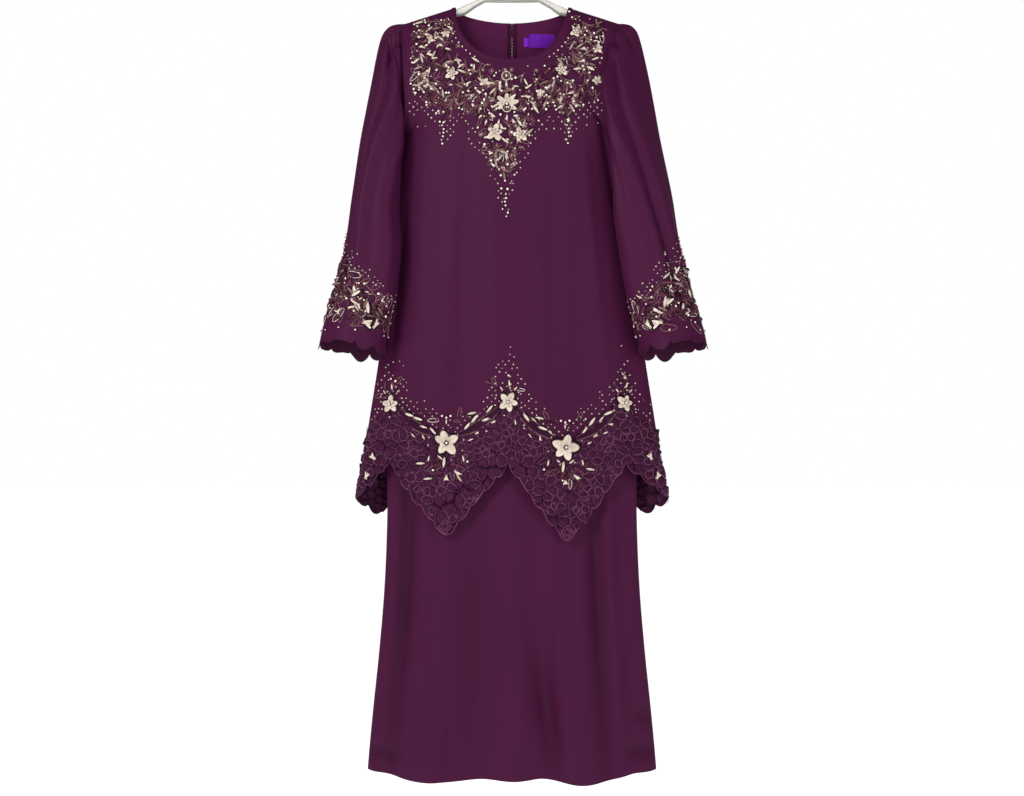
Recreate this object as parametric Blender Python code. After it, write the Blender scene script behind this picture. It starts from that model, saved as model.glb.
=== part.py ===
"""Baju kurung on its hanger: an embroidered tunic over a long skirt.

Metres, +Z up, with the front facing -Y. The origin is the top of the inside of the
hook, where a rail carries the hanger. Heights are measured from there, and drops
are measured down from the shoulder line, so that they follow the shoulder's slope.
"""

import math
from collections import namedtuple

import bmesh
import bpy
from mathutils import Vector

# ---- driving sizes
CLOTH = 0.0015
SEAM_GAP = 0.0003
HALF_GAP = SEAM_GAP / 2
BINDING_GAP = 0.0014
YOKE_FLOWER_GAP = 0.0006
HEM_FLOWER_GAP = 0.0009
CUFF_FLOWER_GAP = 0.0012
LACE_GAP = 0.0004
FRONT = -1
BACK = 1

SHOULDER_TOP = -0.110
SHOULDER_FALL = 0.0285
SHOULDER_HALF_WIDTH = 0.190
SHOULDER_ROUNDING = 0.30
NECK_HALF_WIDTH = 0.1008
NECK_DEPTH = {FRONT: 0.0977, BACK: 0.0242}
NECK_POWER = {FRONT: 2.2, BACK: 1.8}
NECK_END_SLOPE = 12
ARMHOLE_DEPTH = 0.1915
ARMHOLE_FULL_DROP = 0.10
ARMHOLE_GAP = 0.0010

# A section of the tunic: pinch pulls its sides in, towards a lens shape.
Girth = namedtuple("Girth", "at half_width half_depth pinch")
TUNIC = [
    Girth(0.000, 0.1900, 0.052, 0.00),
    Girth(0.172, 0.1945, 0.056, 0.10),
    Girth(0.314, 0.2087, 0.058, 0.35),
    Girth(0.470, 0.2235, 0.060, 0.35),
    Girth(0.590, 0.2364, 0.062, 0.35),
    Girth(0.706, 0.2544, 0.065, 0.35),
    Girth(0.778, 0.2658, 0.067, 0.33),
    Girth(0.840, 0.2780, 0.070, 0.30),
    Girth(0.950, 0.2920, 0.074, 0.30),
]
# The skirt's sections are placed by height, which falls.
SKIRT = [
    Girth(0.515, 0.1750, 0.034, 0.20),
    Girth(0.600, 0.1950, 0.038, 0.30),
    Girth(0.700, 0.2120, 0.041, 0.35),
    Girth(0.920, 0.2230, 0.045, 0.35),
    Girth(1.010, 0.2225, 0.048, 0.35),
    Girth(1.137, 0.2273, 0.052, 0.33),
    Girth(1.250, 0.2364, 0.056, 0.30),
    Girth(1.362, 0.2480, 0.060, 0.28),
    Girth(1.437, 0.2551, 0.063, 0.25),
    Girth(1.500, 0.2600, 0.065, 0.25),
]

# The armhole edge's share of the half width. The right of the front is seen turned in.
Armhole = namedtuple("Armhole", "at front_left front_right back")
ARMHOLE = [
    Armhole(0.000, 1.000, 1.000, 1.000),
    Armhole(0.030, 0.988, 0.915, 0.970),
    Armhole(0.065, 0.975, 0.875, 0.955),
    Armhole(0.110, 0.970, 0.855, 0.950),
    Armhole(0.150, 0.978, 0.875, 0.960),
    Armhole(0.178, 0.990, 0.935, 0.985),
    Armhole(ARMHOLE_DEPTH, 1.000, 1.000, 1.000),
]

# The hem lace: share of the half width, its seam to the cloth, its edge, and the
# scallops from this row to the next.
Hem = namedtuple("Hem", "share seam edge scallops")
HEM = {
    FRONT: [
        Hem(-1.000, -0.866, -0.982, 3),
        Hem(-0.800, -0.818, -0.916, 5),
        Hem(-0.404, -0.885, -1.046, 5),
        Hem(-0.026, -0.815, -0.918, 5),
        Hem(0.330, -0.892, -1.056, 5),
        Hem(0.741, -0.815, -0.918, 3),
        Hem(1.000, -0.866, -0.982, 0),
    ],
    BACK: [
        Hem(-1.000, -0.866, -0.984, 2),
        Hem(-0.830, -0.888, -1.011, 4),
        Hem(-0.580, -0.818, -0.920, 5),
        Hem(-0.290, -0.888, -1.050, 5),
        Hem(0.000, -0.815, -0.918, 5),
        Hem(0.290, -0.888, -1.050, 5),
        Hem(0.580, -0.818, -0.920, 4),
        Hem(0.830, -0.888, -1.011, 2),
        Hem(1.000, -0.866, -0.984, 0),
    ],
}
SCALLOP_DEPTH = 0.009
SCALLOP_STEPS = 3

# A soft fold: where it lies across and down, and how far it stands out.
Fold = namedtuple("Fold", "share top bottom half_width depth")
TUNIC_FOLDS = {
    FRONT: [
        Fold(-0.60, -0.45, -0.95, 0.13, 0.007),
        Fold(-0.30, -0.40, -0.95, 0.12, -0.006),
        Fold(0.12, -0.45, -0.95, 0.14, 0.005),
        Fold(0.52, -0.40, -0.95, 0.13, -0.006),
        Fold(0.76, -0.45, -0.95, 0.10, 0.006),
    ],
    BACK: [
        Fold(-0.52, -0.40, -0.95, 0.13, 0.007),
        Fold(-0.20, -0.45, -0.95, 0.12, -0.005),
        Fold(0.26, -0.45, -0.95, 0.13, 0.006),
        Fold(0.60, -0.40, -0.95, 0.13, -0.006),
    ],
}
SKIRT_FOLDS = {
    FRONT: [
        Fold(-0.86, -0.90, -1.45, 0.09, -0.006),
        Fold(-0.58, -0.85, -1.45, 0.16, 0.009),
        Fold(-0.20, -0.90, -1.45, 0.13, -0.007),
        Fold(0.20, -1.05, -1.45, 0.10, -0.008),
        Fold(0.50, -0.85, -1.45, 0.15, 0.014),
        Fold(0.84, -0.90, -1.45, 0.09, -0.007),
    ],
    BACK: [
        Fold(-0.62, -0.85, -1.45, 0.14, 0.010),
        Fold(-0.28, -0.90, -1.45, 0.12, -0.008),
        Fold(0.06, -0.85, -1.45, 0.14, 0.009),
        Fold(0.46, -0.90, -1.45, 0.13, -0.008),
        Fold(0.78, -0.90, -1.45, 0.09, 0.006),
    ],
}
SKIRT_TOP = -0.5453
SKIRT_HEM = -1.4790
SKIRT_SIDE_RISE = 0.012
SKIRT_FOLD_DROP = 0.5
SKIRT_COLUMNS = 20
SKIRT_ROWS = 10

# A sleeve's rings below the armhole: outermost and innermost point, half depth, how
# far the front is skewed inwards and stands higher, and how deep the gathers are.
Ring = namedtuple(
    "Ring", "outer_x outer_y outer_z inner_x inner_y inner_z half_depth skew rise gather"
)
SLEEVE_LEFT = [
    Ring(0.2030, 0.000, -0.1350, 0.1990, 0.000, -0.3335, 0.041, 0.10, 0.0, 0.0022),
    Ring(0.2165, 0.000, -0.1395, 0.2000, 0.000, -0.3370, 0.044, 0.12, 0.0, 0.0026),
    Ring(0.2280, 0.000, -0.1520, 0.2015, -0.003, -0.3410, 0.046, 0.14, 0.0, 0.0022),
    Ring(0.2355, -0.002, -0.1710, 0.2025, -0.008, -0.3480, 0.047, 0.15, 0.0, 0.0016),
    Ring(0.2415, -0.006, -0.1980, 0.2030, -0.016, -0.3590, 0.047, 0.16, 0.0, 0.0010),
    Ring(0.2498, -0.011, -0.2440, 0.2035, -0.026, -0.3740, 0.046, 0.16, 0.0, 0.0004),
    Ring(0.2587, -0.017, -0.2920, 0.2030, -0.036, -0.3920, 0.045, 0.12, 0.0, 0.0),
    Ring(0.2694, -0.023, -0.3540, 0.2015, -0.045, -0.4180, 0.044, 0.08, 0.0, 0.0),
    Ring(0.2810, -0.030, -0.4520, 0.1998, -0.054, -0.4780, 0.042, 0.0, 0.0, 0.0),
    Ring(0.2929, -0.034, -0.5330, 0.1960, -0.058, -0.5430, 0.042, 0.0, 0.001, 0.0),
    Ring(0.3099, -0.036, -0.6080, 0.2034, -0.060, -0.6140, 0.044, 0.0, 0.003, 0.0),
    Ring(0.3229, -0.037, -0.6490, 0.2123, -0.060, -0.6530, 0.046, 0.0, 0.005, 0.0),
    Ring(0.3345, -0.038, -0.6850, 0.2194, -0.060, -0.6880, 0.049, 0.0, 0.008, 0.0),
    Ring(0.3407, -0.038, -0.7110, 0.2239, -0.060, -0.7130, 0.051, 0.0, 0.009, 0.0),
]
SLEEVE_RIGHT = [
    Ring(0.2000, 0.000, -0.1355, 0.1990, 0.000, -0.3335, 0.041, 0.30, 0.0, 0.0022),
    Ring(0.2125, 0.000, -0.1395, 0.2000, -0.001, -0.3370, 0.044, 0.36, 0.0, 0.0026),
    Ring(0.2230, 0.000, -0.1520, 0.2005, -0.004, -0.3410, 0.046, 0.42, 0.0, 0.0022),
    Ring(0.2301, -0.002, -0.1740, 0.2000, -0.010, -0.3480, 0.047, 0.46, 0.0, 0.0016),
    Ring(0.2373, -0.006, -0.2060, 0.1985, -0.020, -0.3590, 0.047, 0.48, 0.0, 0.0010),
    Ring(0.2455, -0.012, -0.2470, 0.1955, -0.033, -0.3740, 0.046, 0.46, 0.0, 0.0004),
    Ring(0.2533, -0.018, -0.2920, 0.1900, -0.046, -0.3920, 0.044, 0.36, 0.0, 0.0),
    Ring(0.2640, -0.025, -0.3540, 0.1820, -0.058, -0.4180, 0.042, 0.20, 0.0, 0.0),
    Ring(0.2837, -0.033, -0.4520, 0.1790, -0.064, -0.4780, 0.041, 0.0, 0.0, 0.0),
    Ring(0.2953, -0.037, -0.5330, 0.1873, -0.065, -0.5430, 0.042, 0.0, 0.001, 0.0),
    Ring(0.3122, -0.039, -0.6080, 0.1989, -0.064, -0.6140, 0.044, 0.0, 0.003, 0.0),
    Ring(0.3247, -0.040, -0.6490, 0.2096, -0.062, -0.6530, 0.046, 0.0, 0.005, 0.0),
    Ring(0.3381, -0.040, -0.6850, 0.2194, -0.061, -0.6880, 0.049, 0.0, 0.008, 0.0),
    Ring(0.3443, -0.040, -0.7110, 0.2248, -0.061, -0.7130, 0.051, 0.0, 0.009, 0.0),
]
SLEEVES = {-1: SLEEVE_LEFT, 1: SLEEVE_RIGHT}
CUFF_SEAM = 13.0
CUFF_END = 13.75
GATHER_STEP = 0.2
GATHER_SPREAD = 0.5
CUFF_SCALLOPS = 11
CUFF_SCALLOP_DEPTH = 0.004
RING_LENGTH_AT_CUFF = 0.026

ZIP_DEPTH = 0.50
ZIP_TAPE_WIDTH = 0.008
ZIP_HALF_OPENING = 0.0006
TAPE_THICKNESS = 0.001
TAPE_GAP = 0.0005
BINDING_WIDTH = 0.009
BINDING_THICKNESS = 0.001
NOTCH_X = 0.120
WAIST_BAND = (-0.515, -0.545)
WAIST_HALF = (0.1735, 0.0330)
WAIST_CLOTH = 0.002


# ---- tables and curves
def clamp(value, low=0.0, high=1.0):
    return min(max(value, low), high)


def ease(value, low, high):
    """0 at low, 1 at high, and smooth between them."""
    share = clamp((value - low) / (high - low))
    return share * share * (3 - 2 * share)


def read(table, column, at):
    """A column's value at a place, on a smooth curve through the table's rows."""
    places = [row.at for row in table]
    values = [getattr(row, column) for row in table]
    if at <= places[0]:
        return values[0]
    if at >= places[-1]:
        return values[-1]
    here = next(i for i in range(len(places) - 1) if places[i + 1] > at)

    def slope(index):
        before, after = max(index - 1, 0), min(index + 1, len(places) - 1)
        return (values[after] - values[before]) / (places[after] - places[before])

    span = places[here + 1] - places[here]
    share = (at - places[here]) / span
    rising = share * share * (3 - 2 * share)
    start = share * (1 - share) ** 2 * span * slope(here)
    end = share * share * (1 - share) * span * slope(here + 1)
    return values[here] + (values[here + 1] - values[here]) * rising + start - end


def fold_height(folds, share, height):
    """How far the folds stand out of a panel at a place."""
    total = 0.0
    for fold in folds:
        reach = ease(-height, -fold.top, -fold.bottom)
        total += fold.depth * reach * math.exp(-(((share - fold.share) / fold.half_width) ** 2))
    return total


# ---- the tunic's surface: turn runs -1 to 1 across a panel, and level runs down it
def share_of(turn):
    return math.sin(turn * math.pi / 2)


def turn_of(share):
    return math.asin(clamp(share, -1, 1)) * 2 / math.pi


def drop_of(level):
    if level <= 1:
        return SHOULDER_ROUNDING * level * level
    return SHOULDER_ROUNDING * (2 * level - 1)


def level_of(drop):
    if drop <= SHOULDER_ROUNDING:
        return math.sqrt(max(drop, 0) / SHOULDER_ROUNDING)
    return (drop / SHOULDER_ROUNDING + 1) / 2


def shoulder_height(share):
    """Height of the shoulder line. It is level across the neck and slopes beyond it."""
    beyond = abs(share) * SHOULDER_HALF_WIDTH - NECK_HALF_WIDTH
    slope = SHOULDER_FALL / (SHOULDER_HALF_WIDTH - NECK_HALF_WIDTH)
    return SHOULDER_TOP - slope * max(beyond, 0)


def half_width(panel, share, drop):
    column = "back" if panel == BACK else ("front_left", "front_right")[share > 0]
    edge = read(ARMHOLE, column, drop)
    keep = 1 - (1 - edge) * min(abs(share) * 1.4, 1)
    return read(TUNIC, "half_width", drop) * keep


def armhole_share(drop):
    """The armhole edge's share of the depth: full at the top, and none underarm."""
    below = clamp((drop - ARMHOLE_FULL_DROP) / (ARMHOLE_DEPTH - ARMHOLE_FULL_DROP))
    return math.sqrt(max(1 - below * below, 0))


def tunic(panel, turn, level):
    """A point on the outside of the tunic's front or back."""
    share = share_of(turn)
    drop = drop_of(level)
    height = shoulder_height(share) - drop
    depth = read(TUNIC, "half_depth", drop) * math.sin(math.pi / 2 * clamp(level, -1, 1))
    pinch = read(TUNIC, "pinch", drop)
    edge = armhole_share(drop)
    across = math.cos(turn * math.pi / 2)
    section = edge + (1 - edge) * across * (1 - pinch * share * share)
    out = depth * section + across * fold_height(TUNIC_FOLDS[panel], share, height)
    return Vector((share * half_width(panel, share, drop), panel * (out + HALF_GAP), height))


def skirt(panel, turn, level):
    """A point on the outside of the skirt's front or back. level is the height."""
    share = share_of(turn)
    across = math.cos(turn * math.pi / 2)
    pinch = read(SKIRT, "pinch", -level)
    fold = fold_height(SKIRT_FOLDS[panel], share, level) * across
    out = read(SKIRT, "half_depth", -level) * across * (1 - pinch * share * share) + fold
    return Vector((share * read(SKIRT, "half_width", -level), panel * (out + HALF_GAP), level))


def sleeve(side, angle, ring):
    """A point on the outside of a sleeve. Angle 0 is the top, and pi/2 is the front."""
    rows = SLEEVES[side]
    if ring < 1:
        return armhole_ring(side, angle) * (1 - ring) + sleeve(side, angle, 1) * ring
    values = [
        between([getattr(row, name) for row in rows], ring - 1) for name in Ring._fields
    ]
    row = Ring(*values)
    outer = Vector((side * row.outer_x, row.outer_y, row.outer_z))
    inner = Vector((side * row.inner_x, row.inner_y, row.inner_z))
    axis = (outer - inner) / 2
    forward = Vector((0, -1, 0))
    forward -= axis * forward.dot(axis) / axis.length_squared
    forward = forward.normalized() * row.half_depth
    forward.x -= side * row.skew * row.half_depth
    forward.z += row.rise
    level = level_of(ARMHOLE_DEPTH * (1 - math.cos(angle)) / 2)
    spread = math.cos(clamp(level / GATHER_SPREAD) * math.pi / 2)
    ripple = row.gather * spread * math.cos(2 * math.pi * level / GATHER_STEP)
    stretch = 1 + ripple / row.half_depth
    return (outer + inner) / 2 + (axis * math.cos(angle) + forward * math.sin(angle)) * stretch


def between(values, place):
    """A value between the numbered values, on a smooth curve through them."""
    last = len(values) - 1
    place = clamp(place, 0, last)
    here = min(int(place), last - 1)
    share = place - here
    before, after = values[max(here - 1, 0)], values[min(here + 2, last)]
    start, end = values[here], values[here + 1]
    first_slope, last_slope = (end - before) / 2, (after - start) / 2
    rising = share * share * (3 - 2 * share)
    bend = share * (1 - share) ** 2 * first_slope - share * share * (1 - share) * last_slope
    return start + (end - start) * rising + bend


def armhole_ring(side, angle):
    """The edge of the tunic's armhole, one seam gap out, where a sleeve starts."""
    panel = FRONT if math.sin(angle) > 0 else BACK
    drop = ARMHOLE_DEPTH * (1 - math.cos(angle)) / 2
    point = tunic(panel, side, level_of(drop))
    point.x += side * ARMHOLE_GAP
    if abs(math.sin(angle)) < 1e-6:
        point.y = 0
    return point


# ---- walls
def normal_at(surface, across, down, outward):
    step = 1e-4
    along = surface(across + step, down) - surface(across - step, down)
    fall = surface(across, down + step) - surface(across, down - step)
    return (along.cross(fall) * outward).normalized()


def add_object(name, mesh, material):
    mesh.materials.append(material)
    obj = bpy.data.objects.new(name, mesh)
    bpy.context.scene.collection.objects.link(obj)
    return obj


def finish_mesh(name, bm, material, sharp=math.radians(50)):
    bmesh.ops.recalc_face_normals(bm, faces=bm.faces)
    mesh = bpy.data.meshes.new(name)
    bm.to_mesh(mesh)
    bm.free()
    mesh.shade_smooth()
    mesh.set_sharp_from_angle(angle=sharp)
    return add_object(name, mesh, material)


def wall(name, surface, grid, outward, material, outer=0.0, inner=-CLOTH, closed=False):
    """A closed wall on a surface, through a grid of (across, down) places.

    outer and inner are its faces' distances out of the surface. outer may be a
    function of the row's number, where the wall is thicker along its middle.
    """
    bm = bmesh.new()
    layers = []
    for offset in (outer, inner):
        layer = []
        for number, row in enumerate(grid):
            out = offset(number) if callable(offset) else offset
            points = []
            for across, down in row:
                normal = normal_at(surface, across, down, outward)
                points.append(bm.verts.new(surface(across, down) + normal * out))
            layer.append(points)
        layers.append(layer)
    rows, columns = len(grid), len(grid[0])
    steps = columns if closed else columns - 1
    for face, layer in enumerate(layers):
        for i in range(rows - 1):
            for j in range(steps):
                k = (j + 1) % columns
                quad = (layer[i][j], layer[i][k], layer[i + 1][k], layer[i + 1][j])
                bm.faces.new(quad if face == 0 else quad[::-1])
    top, bottom = layers
    for j in range(steps):
        k = (j + 1) % columns
        bm.faces.new((top[0][k], top[0][j], bottom[0][j], bottom[0][k]))
        bm.faces.new((top[-1][j], top[-1][k], bottom[-1][k], bottom[-1][j]))
    if not closed:
        for i in range(rows - 1):
            bm.faces.new((top[i][0], top[i + 1][0], bottom[i + 1][0], bottom[i][0]))
            bm.faces.new((top[i + 1][-1], top[i][-1], bottom[i][-1], bottom[i + 1][-1]))
    return finish_mesh(name, bm, material)


def steps(first, last, count):
    return [first + (last - first) * i / count for i in range(count + 1)]


# ---- materials
def material(name, colour, roughness, metallic=0.0):
    made = bpy.data.materials.new(name)
    made.use_nodes = True
    shader = made.node_tree.nodes["Principled BSDF"]
    shader.inputs["Base Color"].default_value = (*colour, 1)
    shader.inputs["Roughness"].default_value = roughness
    shader.inputs["Metallic"].default_value = metallic
    made.diffuse_color = (*colour, 1)
    return made


def make_materials():
    return {
        "crepe": material("plum crepe", (0.073, 0.012, 0.046), 0.55),
        "lace": material("plum lace", (0.110, 0.022, 0.075), 0.60),
        "applique": material("cream applique", (0.800, 0.680, 0.550), 0.45),
        "cord": material("dark satin cord", (0.055, 0.008, 0.030), 0.35),
        "plastic": material("ivory plastic", (0.780, 0.740, 0.650), 0.35),
        "steel": material("plated steel", (0.700, 0.700, 0.700), 0.25, 1.0),
        "zip": material("zip tape", (0.060, 0.010, 0.040), 0.60),
        "label": material("violet label", (0.210, 0.015, 0.430), 0.40),
    }


# ---- the tunic's panels
def neckline_drop(panel, reach):
    """Drop of the neckline at a share of the neck's half width, and 0 beyond it."""
    if reach >= 1:
        return 0.0
    power = NECK_POWER[panel]
    curve = (1 - reach**power) ** (1 / power)
    return NECK_DEPTH[panel] * min(curve, NECK_END_SLOPE * (1 - reach))


def neckline_level(panel, share):
    """Level of a panel's top edge: the neckline, or the shoulder line beyond it."""
    return level_of(neckline_drop(panel, abs(share) / NECK_SHARE))


def hem_columns(panel, fine):
    """(share, seam height, edge height) at each column of the hem lace."""
    columns = []
    rows = HEM[panel]
    per_scallop = SCALLOP_STEPS if fine else 1
    for row, following in zip(rows, rows[1:]):
        count = row.scallops * per_scallop
        for i in range(count):
            part = i / count
            bulge = abs(math.sin(math.pi * part * row.scallops))
            columns.append(
                (
                    row.share + (following.share - row.share) * part,
                    row.seam + (following.seam - row.seam) * part,
                    row.edge + (following.edge - row.edge) * part - SCALLOP_DEPTH * bulge,
                )
            )
    last = rows[-1]
    return columns + [(last.share, last.seam, last.edge)]


def seam_height(panel, share):
    columns = hem_columns(panel, fine=False)
    for (left, low, _), (right, high, _) in zip(columns, columns[1:]):
        if left <= share <= right:
            return low + (high - low) * (share - left) / (right - left)
    return columns[-1][1]


def level_at(share, height):
    return level_of(shoulder_height(share) - height)


NECK_SHARE = NECK_HALF_WIDTH / SHOULDER_HALF_WIDTH
NECK_REACHES = (0.80, 0.92, 0.98, 0.99, 0.9965, 1.0)
BINDING_REACHES = (0.0, 0.16, 0.32, 0.48, 0.64, 0.80, 0.92, 0.96, 0.98, 0.99, 0.9965, 1.0)
NECK_COLUMNS = [reach * NECK_SHARE for reach in NECK_REACHES]
# Levels of the rows down the side of a panel. The last one is the lace's seam.
UNDERARM = level_of(ARMHOLE_DEPTH)
ARMHOLE_LEVELS = (0, 0.05, 0.1, 0.2, 0.3, 0.4, 0.5, 0.6, 0.7, 0.76, 0.785, UNDERARM)
SIDE_LEVELS = (0.95, 1.1, 1.25, 1.4, 1.56)
COLUMN_SPACING = 0.05


def panel_shares(panel, low, high):
    """The shares of a panel's columns: the scallops' ends, and more at the neck."""
    shares = {round(column[0], 4) for column in hem_columns(panel, fine=False)}
    shares |= {side * round(share, 4) for share in NECK_COLUMNS for side in (-1, 1)}
    inside = sorted(share for share in shares if low <= share <= high)
    kept = [inside[0]]
    for share in inside[1:]:
        near_neck = any(abs(abs(share) - column) < 1e-3 for column in NECK_COLUMNS)
        at_corner = any(abs(share - row.share) < 1e-3 for row in HEM[panel])
        if share - kept[-1] > COLUMN_SPACING or near_neck or at_corner:
            kept.append(share)
    return kept


def cloth_panel(name, panel, low, high, shift, cloth):
    """A panel from its neckline, shoulder and armhole down to the lace."""

    def surface(turn, level):
        return tunic(panel, turn, level) + Vector((shift, 0, 0))

    last = level_at(1, seam_height(panel, 1))
    grid = []
    for down in (*(level / last for level in (*ARMHOLE_LEVELS, *SIDE_LEVELS)), 1):
        row = []
        for share in panel_shares(panel, low, high):
            top = neckline_level(panel, share)
            bottom = level_at(share, seam_height(panel, share) + LACE_GAP)
            row.append((turn_of(share), top + (bottom - top) * down))
        grid.append(row)
    return wall(name, surface, grid, panel, cloth)


def lace_panel(name, panel, low, high, shift, lace):
    def surface(turn, level):
        return tunic(panel, turn, level) + Vector((shift, 0, 0))

    columns = [column for column in hem_columns(panel, fine=True) if low <= column[0] <= high]
    grid = []
    for down in (0, 0.5, 1):
        row = []
        for share, seam, edge in columns:
            height = seam - LACE_GAP + (edge - seam) * down
            row.append((turn_of(share), level_at(share, height)))
        grid.append(row)
    return wall(name, surface, grid, panel, lace)


def neck_binding(name, panel, first, last, shift, cloth):
    """A flat binding on the neck's edge, between two shares of the neck's half width."""

    def surface(turn, level):
        return tunic(panel, turn, level) + Vector((shift, 0, 0))

    def edge(reach, width):
        """A point this far out from the neckline, square to it."""
        size, side = abs(reach), math.copysign(1, reach)
        near, far = max(size - 0.002, 0), min(size + 0.002, 1)
        fall = neckline_drop(panel, near) - neckline_drop(panel, far)
        length = math.hypot(fall, (far - near) * NECK_HALF_WIDTH)
        x = size * NECK_HALF_WIDTH + width * fall / length
        drop = neckline_drop(panel, size) + width * (far - near) * NECK_HALF_WIDTH / length
        return turn_of(side * x / SHOULDER_HALF_WIDTH), level_of(drop)

    reaches = sorted({side * reach for reach in BINDING_REACHES for side in (-1, 1)})
    kept = [reach for reach in reaches if first <= reach <= last]
    grid = [[edge(reach, width) for reach in kept] for width in (0.0, BINDING_WIDTH)]
    low, high = BINDING_GAP, BINDING_GAP + BINDING_THICKNESS
    return wall(name, surface, grid, panel, cloth, outer=high, inner=low)


def make_tunic(looks):
    crepe, lace = looks["crepe"], looks["lace"]
    cloth_panel("tunic_front", FRONT, -1, 1, 0, crepe)
    cloth_panel("tunic_back_left", BACK, -1, 0, -HALF_GAP, crepe)
    cloth_panel("tunic_back_right", BACK, 0, 1, HALF_GAP, crepe)
    lace_panel("hem_lace_front", FRONT, -1, 1, 0, lace)
    lace_panel("hem_lace_back_left", BACK, -1, 0, -HALF_GAP, lace)
    lace_panel("hem_lace_back_right", BACK, 0, 1, HALF_GAP, lace)
    neck_binding("neck_binding_front", FRONT, -1, 1, 0, crepe)
    neck_binding("neck_binding_back_left", BACK, -1, 0, -HALF_GAP, crepe)
    neck_binding("neck_binding_back_right", BACK, 0, 1, HALF_GAP, crepe)


# ---- sleeves
SLEEVE_RINGS = (0.0, 0.6, 1.3, 2.0, 3.0, 4.0, 5.5, 7.0, 8.0, 9.0, 10.0, 11.0, 12.0)


def sleeve_angles():
    """Angles round a sleeve, at the rows of the armhole that it is sewn to."""
    front = [math.acos(1 - 2 * drop_of(level) / ARMHOLE_DEPTH) for level in ARMHOLE_LEVELS[:-1]]
    back = [2 * math.pi - angle for angle in reversed(front[1:])]
    return [*front, math.pi, *back]


def make_sleeves(looks):
    for side, word in ((-1, "left"), (1, "right")):

        def surface(angle, ring, side=side):
            return sleeve(side, angle, ring)

        rings = (*SLEEVE_RINGS, CUFF_SEAM)
        grid = [[(angle, ring) for angle in sleeve_angles()] for ring in rings]
        wall(f"sleeve_{word}", surface, grid, side, looks["crepe"], closed=True)
        make_cuff(f"cuff_{word}", side, surface, looks["lace"])


def make_cuff(name, side, surface, lace):
    """The lace at a sleeve's end, from its seam to its scalloped edge."""
    gap = LACE_GAP / RING_LENGTH_AT_CUFF
    grid = []
    for down in (0, 0.5, 1):
        row = []
        for i in range(CUFF_SCALLOPS * SCALLOP_STEPS):
            bulge = abs(math.sin(math.pi * i / SCALLOP_STEPS))
            length = CUFF_END - CUFF_SEAM + CUFF_SCALLOP_DEPTH / RING_LENGTH_AT_CUFF * bulge
            angle = 2 * math.pi * i / (CUFF_SCALLOPS * SCALLOP_STEPS)
            row.append((angle, CUFF_SEAM + gap + length * down))
        grid.append(row)
    return wall(name, surface, grid, side, lace, closed=True)


# ---- the skirt
def skirt_hem(panel, share):
    fold = fold_height(SKIRT_FOLDS[panel], share, SKIRT_HEM)
    return SKIRT_HEM + SKIRT_SIDE_RISE * abs(share) ** 6 - SKIRT_FOLD_DROP * fold


def make_skirt(looks):
    for panel, word in ((FRONT, "front"), (BACK, "back")):

        def surface(turn, level, panel=panel):
            return skirt(panel, turn, -level)

        grid = [
            [(turn, -SKIRT_TOP - (skirt_hem(panel, share_of(turn)) - SKIRT_TOP) * down)
             for turn in steps(-1, 1, SKIRT_COLUMNS)]
            for down in steps(0, 1, SKIRT_ROWS)
        ]
        wall(f"skirt_{word}", surface, grid, panel, looks["crepe"])

    def band(angle, level):
        return Vector((WAIST_HALF[0] * math.sin(angle), -WAIST_HALF[1] * math.cos(angle), -level))

    grid = [[(angle, -height) for angle in steps(0, 2 * math.pi, 32)[:-1]] for height in WAIST_BAND]
    wall("waistband", band, grid, FRONT, looks["crepe"], inner=-WAIST_CLOTH, closed=True)


# ---- the hanger
ArmSection = namedtuple("ArmSection", "x top bottom")
ARM_HALF_DEPTH = 0.0080
ARM_GAP = 0.0012
NOTCH_FLOOR = -0.1212
NOTCH_BOTTOM = -0.1310
NOTCH_HALF_WIDTH = 0.0048


def arm_top(x):
    """The arm's top lies under the shoulder's cloth, with a notch for the ribbon."""
    share = x / SHOULDER_HALF_WIDTH
    rest = shoulder_height(share) - CLOTH - ARM_GAP
    return NOTCH_FLOOR if abs(x - NOTCH_X) < NOTCH_HALF_WIDTH else rest


def arm_sections():
    crown = [
        ArmSection(0.000, -0.0790, -0.1010),
        ArmSection(0.025, -0.0830, -0.1010),
        ArmSection(0.048, -0.0905, -0.1003),
        ArmSection(0.066, -0.0975, -0.1107),
        ArmSection(0.084, -0.1048, -0.1235),
        ArmSection(0.098, -0.1122, -0.1262),
    ]
    lip = 0.0003
    places = (0.1025, NOTCH_X - NOTCH_HALF_WIDTH - lip, NOTCH_X - NOTCH_HALF_WIDTH + lip,
              NOTCH_X + NOTCH_HALF_WIDTH - lip, NOTCH_X + NOTCH_HALF_WIDTH + lip,
              0.145, 0.168, 0.180, 0.1855)
    arms = []
    for x in places:
        full = shoulder_height(x / SHOULDER_HALF_WIDTH)
        depth = 0.0135 if x < 0.17 else 0.0135 - (x - 0.17) * 0.32
        arms.append(ArmSection(x, arm_top(x), full - CLOTH - depth))
    return crown + arms


def make_hanger(looks):
    bm = bmesh.new()
    right = arm_sections()
    whole = [ArmSection(-row.x, row.top, row.bottom) for row in right[:0:-1]] + right
    sides = 12
    rings = []
    for row in whole:
        middle, half = (row.top + row.bottom) / 2, (row.top - row.bottom) / 2
        ring = []
        for i in range(sides):
            angle = 2 * math.pi * i / sides
            y = ARM_HALF_DEPTH * math.sin(angle)
            ring.append(bm.verts.new((row.x, y, middle + half * math.cos(angle))))
        rings.append(ring)
    for first, second in zip(rings, rings[1:]):
        for i in range(sides):
            k = (i + 1) % sides
            bm.faces.new((first[i], first[k], second[k], second[i]))
    bm.faces.new(rings[0])
    bm.faces.new(rings[-1][::-1])
    finish_mesh("hanger_body", bm, looks["plastic"])
    make_hook(looks["steel"])


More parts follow.
